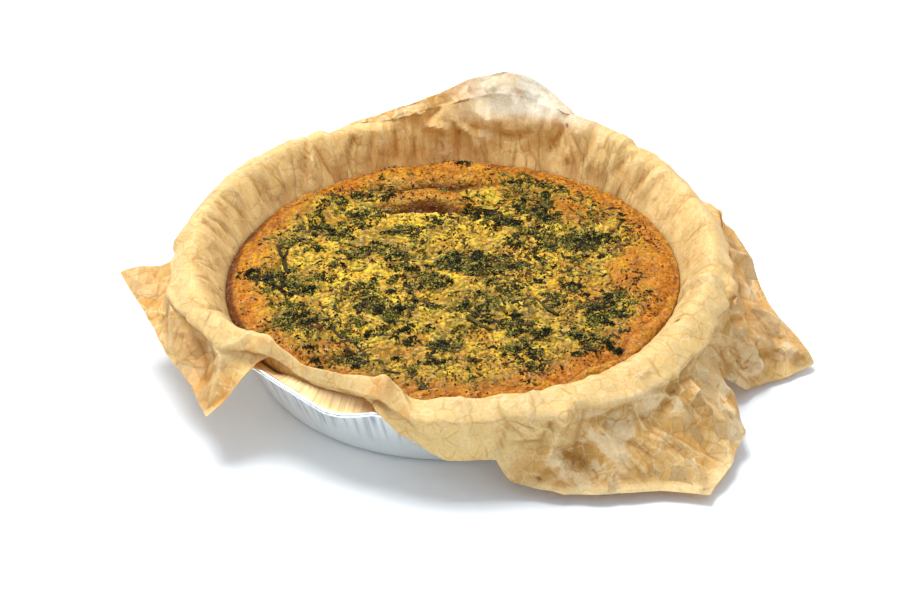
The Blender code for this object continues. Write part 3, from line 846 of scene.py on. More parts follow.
def randomFolds(count, seed):
    # short creases, most of them on the loose flaps
    rng = np.random.default_rng(seed)
    loose = [(175, 222), (283, 332), (283, 332), (336, 362), (336, 362), (0, 20), (60, 100)]
    found = []
    for k in range(count):
        if k % 4:
            low, high = loose[rng.integers(len(loose))]
            start = (rng.uniform(low, high), rng.uniform(3.1, 4.9))
            end = (start[0] + rng.uniform(-9, 9),
                   float(np.clip(start[1] + rng.uniform(-0.9, 0.9), 3.0, 5)))
            width = rng.uniform(2.2, 6.0)
            height = rng.choice((-1, 1)) * width * rng.uniform(0.16, 0.40)
        else:
            start = (rng.uniform(0, 360), rng.uniform(1.1, 2.2))
            end = (start[0] + rng.uniform(-3.5, 3.5), start[1] + rng.uniform(0.4, 1.0))
            width = rng.uniform(1.8, 3.6)
            height = rng.choice((-1, 1)) * width * rng.uniform(0.12, 0.26)
        found.append(((start, end), width, height))
    return found


def paperGrid():
    # the smooth sheet: a place for each column and row, and how far along the section it is
    corner = paperWallRadius(3)
    lining = [(0, paper["floor"]), (40, paper["floor"]), (corner - 4, paper["floor"]),
              (corner - 0.8, paper["floor"] + 0.9), (corner, paper["floor"] + 2.5)]
    alongs = [0.0, 0.5, 0.66, 0.76, 0.84, 0.92] + list(np.linspace(1, 3, 24)[:-1])
    alongs += list(np.linspace(3, 5, paper["outerRows"]))
    turnOf = columnAzimuths()
    grid = np.empty((len(turnOf), len(lining) + len(alongs), 3))
    sections = np.zeros(grid.shape[:2])
    sections[:, len(lining):] = alongs
    for c, turn in enumerate(turnOf):
        azimuth = turn % 360
        angle = math.radians(azimuth)
        points = paperSection(azimuth)
        for k, (radius, height) in enumerate(lining + [onSection(points, along) for along in alongs]):
            grid[c, k] = (radius * math.cos(angle), radius * math.sin(angle), height)
    return turnOf, grid, sections


def makePaper():
    turnOf, grid, sections = paperGrid()
    rows = grid.shape[1] - 1
    piece, column, row = addWrappedGrid("baking_paper_sheet", paper["columns"], rows)
    azimuths = np.repeat(turnOf, rows + 1)
    out = gridNormals(grid).reshape(-1, 3)
    places = grid.reshape(-1, 3)
    along = sections.ravel()
    reach = np.zeros_like(sections)
    reach[:, 1:] = np.cumsum(np.linalg.norm(np.diff(grid, axis=1), axis=2), axis=1)
    reach = reach.ravel()
    radius = np.hypot(places[:, 0], places[:, 1])
    height = places[:, 2]

    # how far a point may move before it meets the tin or the floor
    over = np.maximum(0, height - tin["rimHeight"])
    room = np.where(radius < tin["rimRadius"], over, np.hypot(radius - tin["rimRadius"], over))
    room = np.where(along < 2.2, np.maximum(0, height - 37) * 0.8 + 0.3, room)
    room = np.minimum(room, np.maximum(0.2, height))

    # wrinkles at the top of the wall, pleats in the collar and crumples in the loose paper
    ring = np.radians(azimuths)
    barrel = np.stack([110 * np.cos(ring), 110 * np.sin(ring), reach / 5], axis=1)
    near = np.exp(-(((along - 1.05) / 0.5) ** 2))
    shoulder = band(along, *paper["shoulderAlong"])
    behind = smoothStep(*paper["backReach"], np.abs(roundAngle(azimuths - paper["backAzimuth"])))
    pleated = paper["collarPleat"] * shoulder * (0.6 + 0.4 * behind)
    wrinkles = 1 - 2.2 * np.abs(softNoise(barrel, paper["fineWrinkleSize"], 1))
    push = paper["fineWrinkle"] * near * wrinkles
    for mask, pleats in ((pleated, paper["pleats"]), (behind * shoulder, paper["backPleats"])):
        for share, ground, size, seed in pleats:
            push += mask * share * (ground - 2 * np.abs(softNoise(barrel, size, seed)))
    loose = smoothStep(*paper["looseAlong"], along)
    for share, size, seed, turn in paper["looseCrumples"]:
        push += loose * share * paper["crumple"] * creasedNoise(places, size, seed, turn)
    for share, size, seed, turn in paper["collarCrumples"]:
        push += shoulder * share * creasedNoise(places, size, seed, turn)
    # painted highlight along ridge folds and painted shade along valley folds
    foldLineShading = np.zeros(len(places))
    for stops, width, rise in list(namedFolds) + randomFolds(paper["creases"], paper["creaseSeed"]):
        path = pathOf(stops)
        push += rise * foldShare(places, path, width)
        line = math.copysign(1, rise) * foldShare(places, path, max(0.9, 0.22 * width))
        foldLineShading = np.where(np.abs(line) > np.abs(foldLineShading), line, foldLineShading)
    limit = np.minimum(room * 0.75, 7)
    push = np.where(along > 0.9, np.clip(push, -limit, 9), 0)
    places = places + out * push[:, None]

    # the lower edge of the front right flap curls up and out
    curl = smoothStep(4.78, 5.0, along) * band(azimuths, 284, 289, 312, 320)
    places[:, 2] += 2.6 * curl
    places[:, :2] *= 1 + (0.010 * curl)[:, None]
    places[:, 2] = np.where(along > 1, np.maximum(places[:, 2], 0.35), places[:, 2])

    # what the finish reads at each point
    bend = push.reshape(sections.shape)
    # how much the sheet bulges, for a painted highlight on ridges and painted shade in hollows
    ridgeShading = bend - (np.roll(bend, 1, 0) + np.roll(bend, -1, 0) + np.roll(bend, 1, 1)
                    + np.roll(bend, -1, 1)) / 4
    rightFlap = smoothStep(28, 14, np.abs(roundAngle(azimuths - 2)))
    speck = np.zeros(len(places))
    for azimuth, where in darkSpecks:
        away = np.linalg.norm(places - np.array(sectionPlace(azimuth, where)), axis=1)
        speck = np.maximum(speck, smoothStep(1.6, 0.7, away))
    # darker patches low on the inner wall, most at the back
    lowWallPatches = band(along, 0.5, 0.8, 0.9, 1.6) * (0.1 + 0.9 * behind)
    # painted light: the top of the paper at the back is painted pale where the bright room shines
    # through it
    litPale = smoothStep(24, 8, np.abs(roundAngle(azimuths - 70))) * smoothStep(1.8, 2.5, along)
    marks = {
        "ridgeShading": np.clip(ridgeShading.ravel() / 0.22, -1, 1) * smoothStep(1.0, 1.2, along),
        "creaseShading": foldLineShading,
        "crinkled": np.maximum(loose * smoothStep(2, 9, room), 0.25 * shoulder),
        "wall": band(along, 0.5, 0.7, 1.3, 2.5) * (0.5 + 0.5 * behind),
        # stains and painted shade, with more painted shade below the roll on the right flap
        "stainAndShade": np.maximum(spotShare(places, stainAndShadeSpots, 9),
                            0.65 * rightFlap * band(along, 2.8, 3.1, 3.6, 5.4)),
        "crackledSheen": spotShare(places, crackledSheenSpots, 19),
        # painted highlight along the curled lower edge of the front right flap
        "lip": smoothStep(4.82, 4.93, along) * band(azimuths, 281, 286, 316, 322),
        "speck": speck,
        "lowWallPatches": np.clip(lowWallPatches * (0.55 + 1.5 * softNoise(barrel, 7, 15)), 0, 1),
        "litPale": litPale * (0.92 + 0.3 * softNoise(places, 14, 12)),
    }

    order = column * (rows + 1) + row
    writePlaces(piece, places[order])
    for name, values in marks.items():
        writeAttribute(piece, name, values[order])
    around = piece.data.attributes.new("around", "FLOAT_VECTOR", "POINT")
    around.data.foreach_set("vector", (barrel[order] * mm).ravel())
    corners = np.empty(len(piece.data.loops), dtype=np.int32)
    piece.data.loops.foreach_get("vertex_index", corners)
    flat = np.stack([reach * np.cos(ring), reach * np.sin(ring)], axis=1)[order] / 400 + 0.5
    piece.data.uv_layers[0].data.foreach_set("uv", flat[corners].ravel())
    closeSeams(piece)
    addWall(piece, paper["wall"], 0)
    pickOnly(piece)
    bpy.ops.object.shade_smooth_by_angle(angle=math.radians(paper["crispAngle"]))
    piece.data.materials.append(paperFinish())
    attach(piece, "root")
    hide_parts("baking_paper")


def vectorCalculate(tree, operation, first, second, output="Vector"):
    node = addNode(tree, "ShaderNodeVectorMath", operation=operation)
    feed(tree, node.inputs[0], first)
    feed(tree, node.inputs[1], second)
    return node.outputs[output]


def facetLean(tree, place, sizeMm):
    # every cell is a flat facet that leans its own way
    return vectorCalculate(tree, "SUBTRACT", cells(tree, place, sizeMm, "F1", "Color"),
                           (0.5, 0.5, 0.5))


def facetHeight(tree, place, sizeMm, share):
    # height of the facets in mm, straight from edge to edge
    away = vectorCalculate(tree, "SUBTRACT", place, cells(tree, place, sizeMm, "F1", "Position"))
    height = vectorCalculate(tree, "DOT_PRODUCT", away, facetLean(tree, place, sizeMm), "Value")
    return multiply(tree, height, share / mm)


def edgeRise(tree, place, layers):
    # small plates between cracks: the surface rises straight from the edges of the cells
    total = None
    for sizeMm, share in layers:
        slope = multiply(tree, cells(tree, place, sizeMm, "DISTANCE_TO_EDGE"), share * sizeMm / 10)
        total = slope if total is None else calculate(tree, "ADD", total, slope)
    return total


def spotShare(places, spots, seed):
    # spots with uneven edges on the paper
    found = np.zeros(len(places))
    for azimuth, where, size, strength in spots:
        away = np.linalg.norm(places - np.array(sectionPlace(azimuth, where)), axis=1)
        edge = size * (1 + 0.35 * softNoise(places, size, seed))
        found = np.maximum(found, strength * smoothStep(1.3 * edge, 0.3 * edge, away))
    return found


def gridNormals(grid):
    # the side away from the tin, from the grid's own neighbours
    outward = np.gradient(grid, axis=1)
    around = (np.roll(grid[:-1], -1, 0) - np.roll(grid[:-1], 1, 0)) / 2
    around = np.concatenate([around, around[:1]])
    found = np.cross(outward, around)
    length = np.linalg.norm(found, axis=2, keepdims=True)
    return found / np.maximum(length, 1e-9)


def paperFinish():
    material, tree, shader = newFinish("tan baking paper", {
        "Roughness": paper["roughness"], "Specular IOR Level": 0.22})
    place = objectPlace(tree)
    around = addNode(tree, "ShaderNodeAttribute", attribute_name="around").outputs["Vector"]
    bent = mixColours(tree, 0.0015, place, addNode(tree, "ShaderNodeTexNoise", {
        "Vector": place, "Scale": 90.0}).outputs["Color"], "ADD")
    ridgeShading, creaseShading, wall, crinkled, crackledSheen, lowWallPatches, litPale, stainAndShade, lip, speck = (
        attributeOf(tree, name) for name in ("ridgeShading", "creaseShading", "wall", "crinkled", "crackledSheen",
                                             "lowWallPatches", "litPale", "stainAndShade", "lip", "speck"))
    colour = mixColours(tree, mottle(tree, place, 22, 0.38, 0.66), paper["colour"],
                        tuple(0.9 * part for part in paper["colour"]))
    colour = tint(tree, colour, paper["deepToneAndShadeColour"], mottle(tree, place, 2.2, 0.35, 0.7, 5), 0.12)

    # flat facets between creases, each painted lighter or darker by how it faces the light
    # painted shade: the loose crinkled paper is deepened to gold for its shade and the light bounced
    # between its folds
    colour = tint(tree, colour, paper["deepToneAndShadeColour"], crinkled, 0.6)
    facets = []
    for sizeMm, rise, strength in paper["facets"]:
        facets.append(facetHeight(tree, bent, sizeMm, rise))
        keyLightFacing = vectorCalculate(tree, "DOT_PRODUCT", facetLean(tree, bent, sizeMm),
                                 (-0.55, 0.45, 0.7), "Value")
        keyLightFacing = multiply(tree, keyLightFacing, crinkled)
        colour = tint(tree, colour, paper["highlightColour"], keyLightFacing, strength)
        colour = tint(tree, colour, paper["stainAndShadeColour"], keyLightFacing, -0.5 * strength)

    # wrinkles and pleats that run down the wall, with painted shade along their bottoms
    streaks = noise(tree, around, 330.0, 2.0, Distortion=0.6)
    streaks = calculate(tree, "ABSOLUTE", calculate(tree, "SUBTRACT", streaks, 0.5))
    furrowShade = multiply(tree, rescale(tree, streaks, 0.035, 0.0), wall)
    furrowShade = multiply(tree, furrowShade, mottle(tree, place, 16, 0.4, 0.65))
    colour = tint(tree, colour, paper["deepToneAndShadeColour"], furrowShade, 0.4)
    pleat = noise(tree, around, 95.0, 1.0)
    pleat = calculate(tree, "ABSOLUTE", calculate(tree, "SUBTRACT", pleat, 0.5))
    # painted shade along the bottoms of the pleats
    line = multiply(tree, rescale(tree, pleat, 0.014, 0.0), wall)
    colour = tint(tree, colour, paper["darkBrownColour"], line, 0.75)

    # thin creases: nearly straight lines that fade in and out, painted as shade or as a highlight
    for sizeMm, tone, share in ((17, "deepToneAndShadeColour", 0.75), (13, "highlightColour", 0.7),
                                (6.5, "deepToneAndShadeColour", 0.5), (5, "highlightColour", 0.45)):
        thin = rescale(tree, cells(tree, bent, sizeMm, "DISTANCE_TO_EDGE"), 0.45 / sizeMm, 0.15 / sizeMm)
        thin = multiply(tree, thin, mottle(tree, place, 1.3 * sizeMm, 0.42, 0.58))
        thin = multiply(tree, thin, rescale(tree, crinkled, 0, 1, 0.4, share))
        colour = mixColours(tree, thin, colour, paper[tone])

    # whitish plates between fine cracks, with a painted sheen
    sheenPlates = calculate(tree, "MAXIMUM", rescale(tree, cells(tree, bent, 7, "F1", "Color"), 0.45, 0.5),
                      rescale(tree, cells(tree, bent, 2.6, "F1", "Color"), 0.45, 0.6, 0, 0.8))
    sheenPlates = multiply(tree, rescale(tree, crackledSheen, 0.1, 0.45), sheenPlates)
    # painted highlight on ridges and ridge folds, painted shade in hollows and valley folds, darker
    # patches low on the wall, painted light through the pale top at the back, stains and painted shade,
    # painted sheen on the cracked plates and a painted highlight along the lip
    for mask, share, tone in (
        (ridgeShading, 0.25, "highlightColour"), (ridgeShading, -0.22, "deepToneAndShadeColour"),
        (creaseShading, 0.55, "highlightColour"), (creaseShading, -0.6, "darkBrownColour"),
        (lowWallPatches, 0.6, "darkBrownColour"), (litPale, 0.85, "throughLightColour"), (stainAndShade, 0.6, "stainAndShadeColour"),
        (sheenPlates, 0.75, "sheenColour"), (lip, 0.55, "highlightColour"),
    ):
        colour = tint(tree, colour, paper[tone], mask, share)
    colour = mixColours(tree, speck, colour, paper["speckColour"])
    fibre = noise(tree, place, 900.0, 5.0)
    colour = mixColours(tree, rescale(tree, fibre, 0.56, 0.36, 0, 0.22), colour, paper["deepToneAndShadeColour"])
    feed(tree, shader.inputs["Base Color"], colour)

    # bumps from the finest up: height, strength and distance in mm
    cracks = multiply(tree, edgeRise(tree, bent, ((2.4, 1.0), (1.3, 0.5))), crackledSheen)
    below = None
    for rise, strength, distance in (
        (fibre, 0.25, 0.4),
        (multiply(tree, calculate(tree, "ADD", *facets), crinkled), 1.0, 1.0),
        (multiply(tree, rescale(tree, streaks, 0.0, 0.10), wall), 0.4, 0.5),
        (multiply(tree, rescale(tree, pleat, 0.0, 0.16), wall), 0.8, 2.2),
        (cracks, 1.0, 1.6),
    ):
        below = addBump(tree, shader, rise, strength, distance, below)

    # light shines through the paper, most of all at the pale top of the back, where light through it is
    # also painted
    shine = mixColours(tree, rescale(tree, litPale, 0, 1, 0.35, 0.0), colour, paper["glowColour"])
    through = addNode(tree, "ShaderNodeBsdfTranslucent", {"Color": shine})
    blend = addNode(tree, "ShaderNodeMixShader")
    feed(tree, blend.inputs[0], rescale(tree, litPale, 0, 1, *paper["translucence"]))
    tree.links.new(shader.outputs[0], blend.inputs[1])
    tree.links.new(through.outputs[0], blend.inputs[2])
    tree.links.new(blend.outputs[0], tree.nodes["Material Output"].inputs["Surface"])
    return material


makePaper()
print("paper done")


# baked custard

custard = {
    "gap": 0.2,
    "top": 38.2,
    "edgeHeight": 37.2,
    "rounding": 3.6,
    "rimLobe": 2.2,
    "rimLobeRadius": 89,
    "rimLobeWidth": 10,
    "rimLobes": 11,
    "crag": 1.5,
    "cragSize": 9,
    "divisions": 304,
    "curd": 0.95,
    "curds": ((5.2, 21, 0.55, 1.0), (2.8, 22, 0.55, 0.7)),  # size, seed, level and height
    "fineCurds": (1.7, 25, 0.5, 0.35),
    "curdsOnSwellings": 0.28,
    "shadowUnderSwellings": ((-8, 56.5, 25, 3.0, -4), (-12, 74, 30, 2.6, 3)),  # painted shadow under the folds at the back
    "shadowUnderShare": 0.95,
    "fullBrown": 0.7,  # patches above this have hardly any broccoli
    "yellow": (0.95, 0.63, 0.030),
    "gold": (0.57, 0.25, 0.012),
    "olive": (0.145, 0.115, 0.015),
    "green": (0.035, 0.036, 0.007),
    "brown": (0.27, 0.075, 0.007),
    "orange": (0.63, 0.20, 0.009),
    "castShadow": (0.13, 0.030, 0.003),
    "burnt": (0.050, 0.012, 0.003),
    "litPale": (0.92, 0.74, 0.19),
    "roughness": 0.42,
    "coat": (0.05, 0.9),  # moist patches come and go between these
    "coatRoughness": 0.12,
}

# x, y, half length, half width, turn in degrees and height of each puffed swelling
swellings = (
    (-10, 85, 38, 11, 0, 5.2), (-12, 64.5, 25, 7, -4, 5.6), (86, -6, 24, 15, 95, 3.5),
    (57, 50, 14, 10, -40, 3), (-56, -59, 13, 8, 10, 2.8), (-90, -27, 15, 11, 110, 2.4),
    (-89, 15, 14, 10, 75, 2.6), (-66, 58, 20, 10, 40, 2.4), (-4, -96, 16, 5, 0, 2.2),
    (62, -83, 30, 5, 37, 2.4), (84, -56, 20, 5, 55, 2.2),
)
crack = (-10, 56, 24, 2.4, -4, -2.2)

# x, y, half length, half width, turn and strength of the darkest, greenest patches
herbPatches = (
    (-85, 0, 18, 7, -20, 1.0), (-69, -37, 14, 9, 20, 0.7), (6, 10, 16, 9, 0, 1.0),
    (24, 46, 12, 5, -40, 1.0), (58, 24, 14, 9, 10, 1.0), (44, 50, 7, 14, 20, 0.8),
    (65, -63, 18, 5, 35, 1.0), (64, -30, 12, 8, 20, 0.7), (-4, -57, 10, 6, 0, 0.9),
    (-40, 20, 16, 6, 10, 0.8), (-30, -30, 18, 8, -30, 0.7), (28, -44, 18, 6, -20, 0.7),
    (-12, -8, 14, 8, 10, 0.6), (30, 4, 16, 8, 0, 0.7), (-60, 40, 12, 6, 30, 0.6),
    (-45, -70, 14, 6, -30, 0.6), (10, -30, 16, 6, 0, 0.6), (-20, 40, 14, 6, 0, 0.6),
)
yellowPatches = (
    (-42, 2, 18, 12, 0, 1.0), (-20, 50, 26, 8, 0, 1.0), (-60, 18, 14, 12, 0, 0.8),
    (10, 30, 14, 8, 0, 0.6), (-8, -38, 20, 9, 0, 0.6), (40, 10, 14, 6, 0, 0.5),
    (0, -80, 26, 8, 0, 0.7), (-30, -15, 16, 6, 0, 0.6), (36, -66, 16, 8, 20, 0.7),
)
brownPatches = (
    (86, -6, 26, 17, 95, 1.0), (57, 50, 14, 10, -40, 1.0), (-12, 64, 27, 8, -4, 1.0),
    (-10, 85, 40, 12, 0, 1.0), (-56, -59, 13, 8, 10, 0.9), (-90, -27, 15, 11, 110, 0.9),
    (-89, 15, 14, 10, 75, 0.8), (62, -83, 30, 7, 37, 1.0), (84, -56, 20, 7, 55, 1.0),
    (62, -20, 16, 14, 60, 0.6), (-72, -30, 16, 12, 0, 0.5), (40, 66, 30, 10, -35, 0.7),
)


def patchShare(x, y, row):
    centreX, centreY, halfLength, halfWidth, turn = row[:5]
    angle = math.radians(turn)
    dx, dy = x - centreX, y - centreY
    along = (dx * math.cos(angle) + dy * math.sin(angle)) / halfLength
    across = (dy * math.cos(angle) - dx * math.sin(angle)) / halfWidth
    return np.maximum(0, 1 - along**2 - across**2)


def swellingHeight(x, y, row):
    inside = patchShare(x, y, row)
    return row[5] * inside * (2 - inside)


def strongest(x, y, rows):
    found = np.zeros(len(x))
    for row in rows:
        found = np.maximum(found, row[5] * np.sqrt(patchShare(x, y, row)))
    return found


def bareShare(x, y):
    # browned patches and swellings, where hardly any broccoli lies
    return strongest(x, y, [row for row in brownPatches if row[5] > custard["fullBrown"]])


def custardRadius(height):
    return paperWallRadius(height) - paper["sheet"] / 2 - custard["gap"]


def topHeight(x, y):
    flat = np.stack([x, y], axis=1)
    radius = np.hypot(x, y)
    angle = np.arctan2(y, x)
    edge = custardRadius(custard["edgeHeight"])
    lobes = 0.65 + 0.35 * np.sin(custard["rimLobes"] * angle + 2 * np.sin(3 * angle))
    ring = custard["rimLobe"] * lobes * np.exp(
        -(((radius - custard["rimLobeRadius"]) / custard["rimLobeWidth"]) ** 2))
    raised = np.zeros(len(x))
    for row in swellings:
        raised = np.maximum(raised, swellingHeight(x, y, row))
    smooth = np.clip(raised / 2.0, 0, 1)
    warped = flat + 1.6 * np.stack([softNoise(flat, 7, 31), softNoise(flat, 7, 32)], axis=1)
    curds = np.zeros(len(x))
    for points, (size, seed, level, rise) in zip((warped, warped, flat),
                                                 (*custard["curds"], custard["fineCurds"])):
        curds += (level - cellDistance(points, size, seed)) * rise
    height = custard["top"] + ring + custard["crag"] * softNoise(flat, custard["cragSize"], 24)
    height += raised + swellingHeight(x, y, crack)
    height += custard["curd"] * curds * (1 - (1 - custard["curdsOnSwellings"]) * smooth)
    inwards = np.clip((edge - radius) / custard["rounding"], 0, 1)
    drop = 1 - np.sqrt(1 - (1 - inwards) ** 2)
    return height - drop * (height - custard["edgeHeight"])


def makeCustard():
    count = custard["divisions"]
    edge = custardRadius(custard["edgeHeight"])
    bpy.ops.mesh.primitive_grid_add(x_subdivisions=count, y_subdivisions=count, size=2)
    piece = bpy.context.object
    piece.name = "baked_custard"
    square = readPlaces(piece)
    x, y = discPlaces(square[:, 0], square[:, 1])
    x, y = x * edge, y * edge
    topCount = len(x)
    writePlaces(piece, np.stack([x, y, topHeight(x, y)], axis=1))

    # the side goes down inside the paper, and the bottom closes it
    bpy.ops.object.mode_set(mode="EDIT")
    bpy.ops.mesh.select_all(action="SELECT")
    bpy.ops.mesh.region_to_loop()
    bottom = paper["floor"] + paper["sheet"] / 2 + 0.3
    steps = ((custardRadius(30), 30), (custardRadius(15), 15), (custardRadius(5), bottom + 2),
             (custardRadius(3) - 4, bottom))
    before = edge
    for radius, height in steps:
        bpy.ops.mesh.extrude_edges_move(TRANSFORM_OT_translate={"value": (0, 0, -1 * mm)})
        bpy.ops.transform.resize(value=(radius / before, radius / before, 1),
                                 center_override=(0, 0, 0))
        before = radius
    bpy.ops.mesh.edge_face_add()
    bpy.ops.mesh.select_all(action="SELECT")
    bpy.ops.mesh.normals_make_consistent(inside=False)
    bpy.ops.object.mode_set(mode="OBJECT")
    places = readPlaces(piece) / mm
    perStep = (len(places) - topCount) // len(steps)
    for k, (radius, height) in enumerate(steps):
        places[topCount + k * perStep: topCount + (k + 1) * perStep, 2] = height
    writePlaces(piece, places)

    x, y, z = places.T
    radius = np.hypot(x, y)
    flat = np.stack([x, y], axis=1)
    wobble = softNoise(flat, 12, 41)
    rim = smoothStep(80 + 5 * wobble, 97, radius)
    browned = np.maximum(rim, strongest(x, y, brownPatches)) + 0.15 * wobble
    browned = np.clip(browned + 0.22 * smoothStep(-25, -70, y), 0, 1)
    herbs = np.clip(strongest(x, y, herbPatches) * 0.9 + 0.42 + 0.5 * softNoise(flat, 15, 42), 0, 1)
    herbs = np.clip(herbs + 0.3 * smoothStep(-20, -60, y), 0, 1)
    herbs *= 1 - 0.85 * strongest(x, y, yellowPatches)
    herbs *= 1 - 0.85 * smoothStep(84, 96, radius)
    herbs *= 1 - 0.75 * bareShare(x, y)
    yellow = np.clip(strongest(x, y, yellowPatches) + 0.25 * softNoise(flat, 10, 43), 0, 1)
    # painted shadow under the folds at the back
    shadowUnder = strongest(x, y, [(*row, custard["shadowUnderShare"]) for row in custard["shadowUnderSwellings"]])
    # painted shadow in the gap at the rim, darkest at the left, where the custard stands away from the
    # paper
    bearing = np.degrees(np.arctan2(y, x)) % 360
    leftSide = smoothStep(46, 26, np.abs(roundAngle(bearing - 182)))
    castShadow = np.maximum(shadowUnder, smoothStep(98.5, 101.5, radius) * (0.12 + 0.85 * leftSide))
    # how far each top point lies below its blurred neighbours, for painted shade in hollows and a
    # painted highlight on tips
    hollowShading = np.zeros(len(places))
    top = z[:topCount].reshape(count + 1, count + 1)
    hollowShading[:topCount] = (blurred(top, 3) - top).ravel() / 0.16
    for name, values in (("browned", browned), ("herbs", herbs), ("yellow", yellow),
                         ("castShadow", castShadow), ("hollowShading", np.clip(hollowShading, -1, 1))):
        writeAttribute(piece, name, values)
    smoothShade(piece)
    piece.data.materials.append(custardFinish())
    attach(piece, "root")
    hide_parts("quiche")


def blurred(grid, passes):
    for _ in range(passes):
        padded = np.pad(grid, 1, mode="edge")
        grid = (padded[1:-1, 1:-1] + padded[:-2, 1:-1] + padded[2:, 1:-1]
                + padded[1:-1, :-2] + padded[1:-1, 2:]) / 5
    return grid


def discPlaces(u, v):
    # moves a square grid onto a disc with even cells
    wide = np.abs(u) > np.abs(v)
    radius = np.where(wide, u, v)
    with np.errstate(divide="ignore", invalid="ignore"):
        turn = np.where(wide, math.pi / 4 * v / u, math.pi / 2 - math.pi / 4 * u / v)
    turn = np.nan_to_num(turn)
    return radius * np.cos(turn), radius * np.sin(turn)


def custardFinish():
    material, tree, shader = newFinish("baked custard", {
        "Specular IOR Level": 0.10, "Coat Roughness": custard["coatRoughness"]})
    place = objectPlace(tree)
    browned, herbs, hollowShading, yellow, castShadow = (
        attributeOf(tree, name) for name in ("browned", "herbs", "hollowShading", "yellow", "castShadow"))
    colour = mixColours(tree, mottle(tree, place, 8, 0.42, 0.58, 4), custard["gold"], custard["yellow"])
    colour = tint(tree, colour, custard["yellow"], yellow, 0.6)
    colour = tint(tree, colour, custard["orange"], mottle(tree, place, 4, 0.50, 0.62, 4), 0.65)
    toast = rescale(tree, mottle(tree, place, 6, 0.3, 0.7, 4), 0, 1, 0.7, 1.0)
    colour = tint(tree, colour, custard["orange"], browned, toast)
    for sizeMm, low, high in ((5, 0.47, 0.66), (1.5, 0.50, 0.64)):
        darker = multiply(tree, browned, mottle(tree, place, sizeMm, low, high, 5))
        colour = tint(tree, colour, custard["brown"], darker, 0.7)

    # herb mush: olive clouds with darker, ragged hearts
    cloud = multiply(tree, mottle(tree, place, 4.5, 0.36, 0.56, 5), herbs)
    colour = tint(tree, colour, custard["olive"], cloud, 0.9)
    heart = multiply(tree, mottle(tree, place, 3.2, 0.53, 0.62, 6), herbs)
    colour = tint(tree, colour, custard["green"], heart, 0.8)

    # dark pores, painted shade in hollows and in the low places of the curdled bump, and a painted
    # highlight on the tips
    pores = multiply(tree, rescale(tree, cells(tree, place, 1.7), 0.17, 0.07), browned)
    colour = tint(tree, colour, custard["burnt"], pores, 0.6)
    low = mixColours(tree, browned, custard["olive"], custard["brown"])
    colour = tint(tree, colour, low, hollowShading, 0.85)
    crestHighlight = multiply(tree, hollowShading, -0.45, clamp=True)
    colour = tint(tree, colour, custard["litPale"], crestHighlight, rescale(tree, browned, 0, 1, 1, 0.25))
    curdle = noise(tree, place, 480.0, 4.0)
    colour = tint(tree, colour, low, rescale(tree, curdle, 0.50, 0.36),
                  rescale(tree, browned, 0, 1, 0.75, 0.4))
    colour = mixColours(tree, castShadow, colour, custard["castShadow"])
    feed(tree, shader.inputs["Base Color"], colour)
    feed(tree, shader.inputs["Roughness"], rescale(
        tree, mottle(tree, place, 2.0, 0.35, 0.65), 0, 1,
        custard["roughness"] - 0.10, custard["roughness"] + 0.16))

    # the bumps, and a moist coat in patches
    fine = addBump(tree, shader, noise(tree, place, 1100.0, 4.0), 0.8, 0.9)
    uneven = addBump(tree, shader, curdle, 1.0, 2.4, fine)
    bubbles = multiply(tree, cells(tree, place, 2.4), rescale(tree, browned, 0, 1, 0.3, 1.0))
    feed(tree, shader.inputs["Coat Normal"], addBump(tree, shader, bubbles, 0.8, 0.7, uneven))
    moist = mottle(tree, place, 2.6, 0.50, 0.60, 4)
    feed(tree, shader.inputs["Coat Weight"], rescale(tree, moist, 0, 1, *custard["coat"]))
    return material


makeCustard()
print("custard done")


# broccoli and browned bits, scattered over the top

bits = {
    "field": 99,  # they lie within this radius
    "darkFlorets": 1250,
    "greenFlorets": 1500,
    "floretRadius": (0.7, 2.9),
    "floretHeight": 0.42,
    "clumpFlorets": 4,
    "clumpSpread": 2.0,
    "clumpLeastRadius": 1.4,
    "grainsPerArea": 1.3,
    "grain": (0.34, 0.68),
    "looseDark": 2600,
    "looseDarkRadius": (0.2, 0.55),
    "looseGreen": 6500,
    "looseGreenRadius": (0.2, 0.65),
    "brownCrumbs": 3600,
    "brownRadius": (0.25, 0.85),
    "shreds": 900,
    "shredSeed": 71,
    "shredLength": (1.5, 5.5),
    "stems": 70,
    "stemSeed": 91,
    "stemSize": ((3.0, 9.0), (0.6, 1.5)),
    "darkColours": ((0.0, (0.002, 0.003, 0.002)), (0.5, (0.008, 0.009, 0.003)),
                   (1.0, (0.060, 0.056, 0.010))),
    "greenColours": ((0.0, (0.018, 0.016, 0.004)), (0.5, (0.105, 0.090, 0.014)),
                    (1.0, (0.48, 0.43, 0.080))),
    "brownColours": ((0.0, (0.022, 0.007, 0.004)), (0.5, (0.10, 0.026, 0.008)),
                    (1.0, (0.26, 0.085, 0.014))),
    "shredColours": ((0.0, (0.010, 0.010, 0.005)), (0.6, (0.045, 0.040, 0.011)),
                    (1.0, (0.11, 0.028, 0.012))),
    "stemColours": ((0.0, (0.014, 0.010, 0.006)), (0.5, (0.12, 0.088, 0.014)),
                   (1.0, (0.36, 0.27, 0.050))),
}

# x and y of the broccoli clumps
clumps = (
    (-97, 3), (-92, 0), (-86, -4), (-80, -8), (-74, -13), (-66, -10), (2, 12), (10, 2), (14, 12),
    (64, -32), (70, -26), (62, 23), (54, 26), (66, 30), (58, -59), (65, -63), (71, -66), (78, -69),
    (-4, -57), (-40, 20), (24, 46), (18, 50), (-30, -30), (44, 52), (48, 44), (30, 42), (0, 6),
    (-62, 46), (-30, 66), (8, 88), (-22, -46), (38, -52), (-66, -38),
)

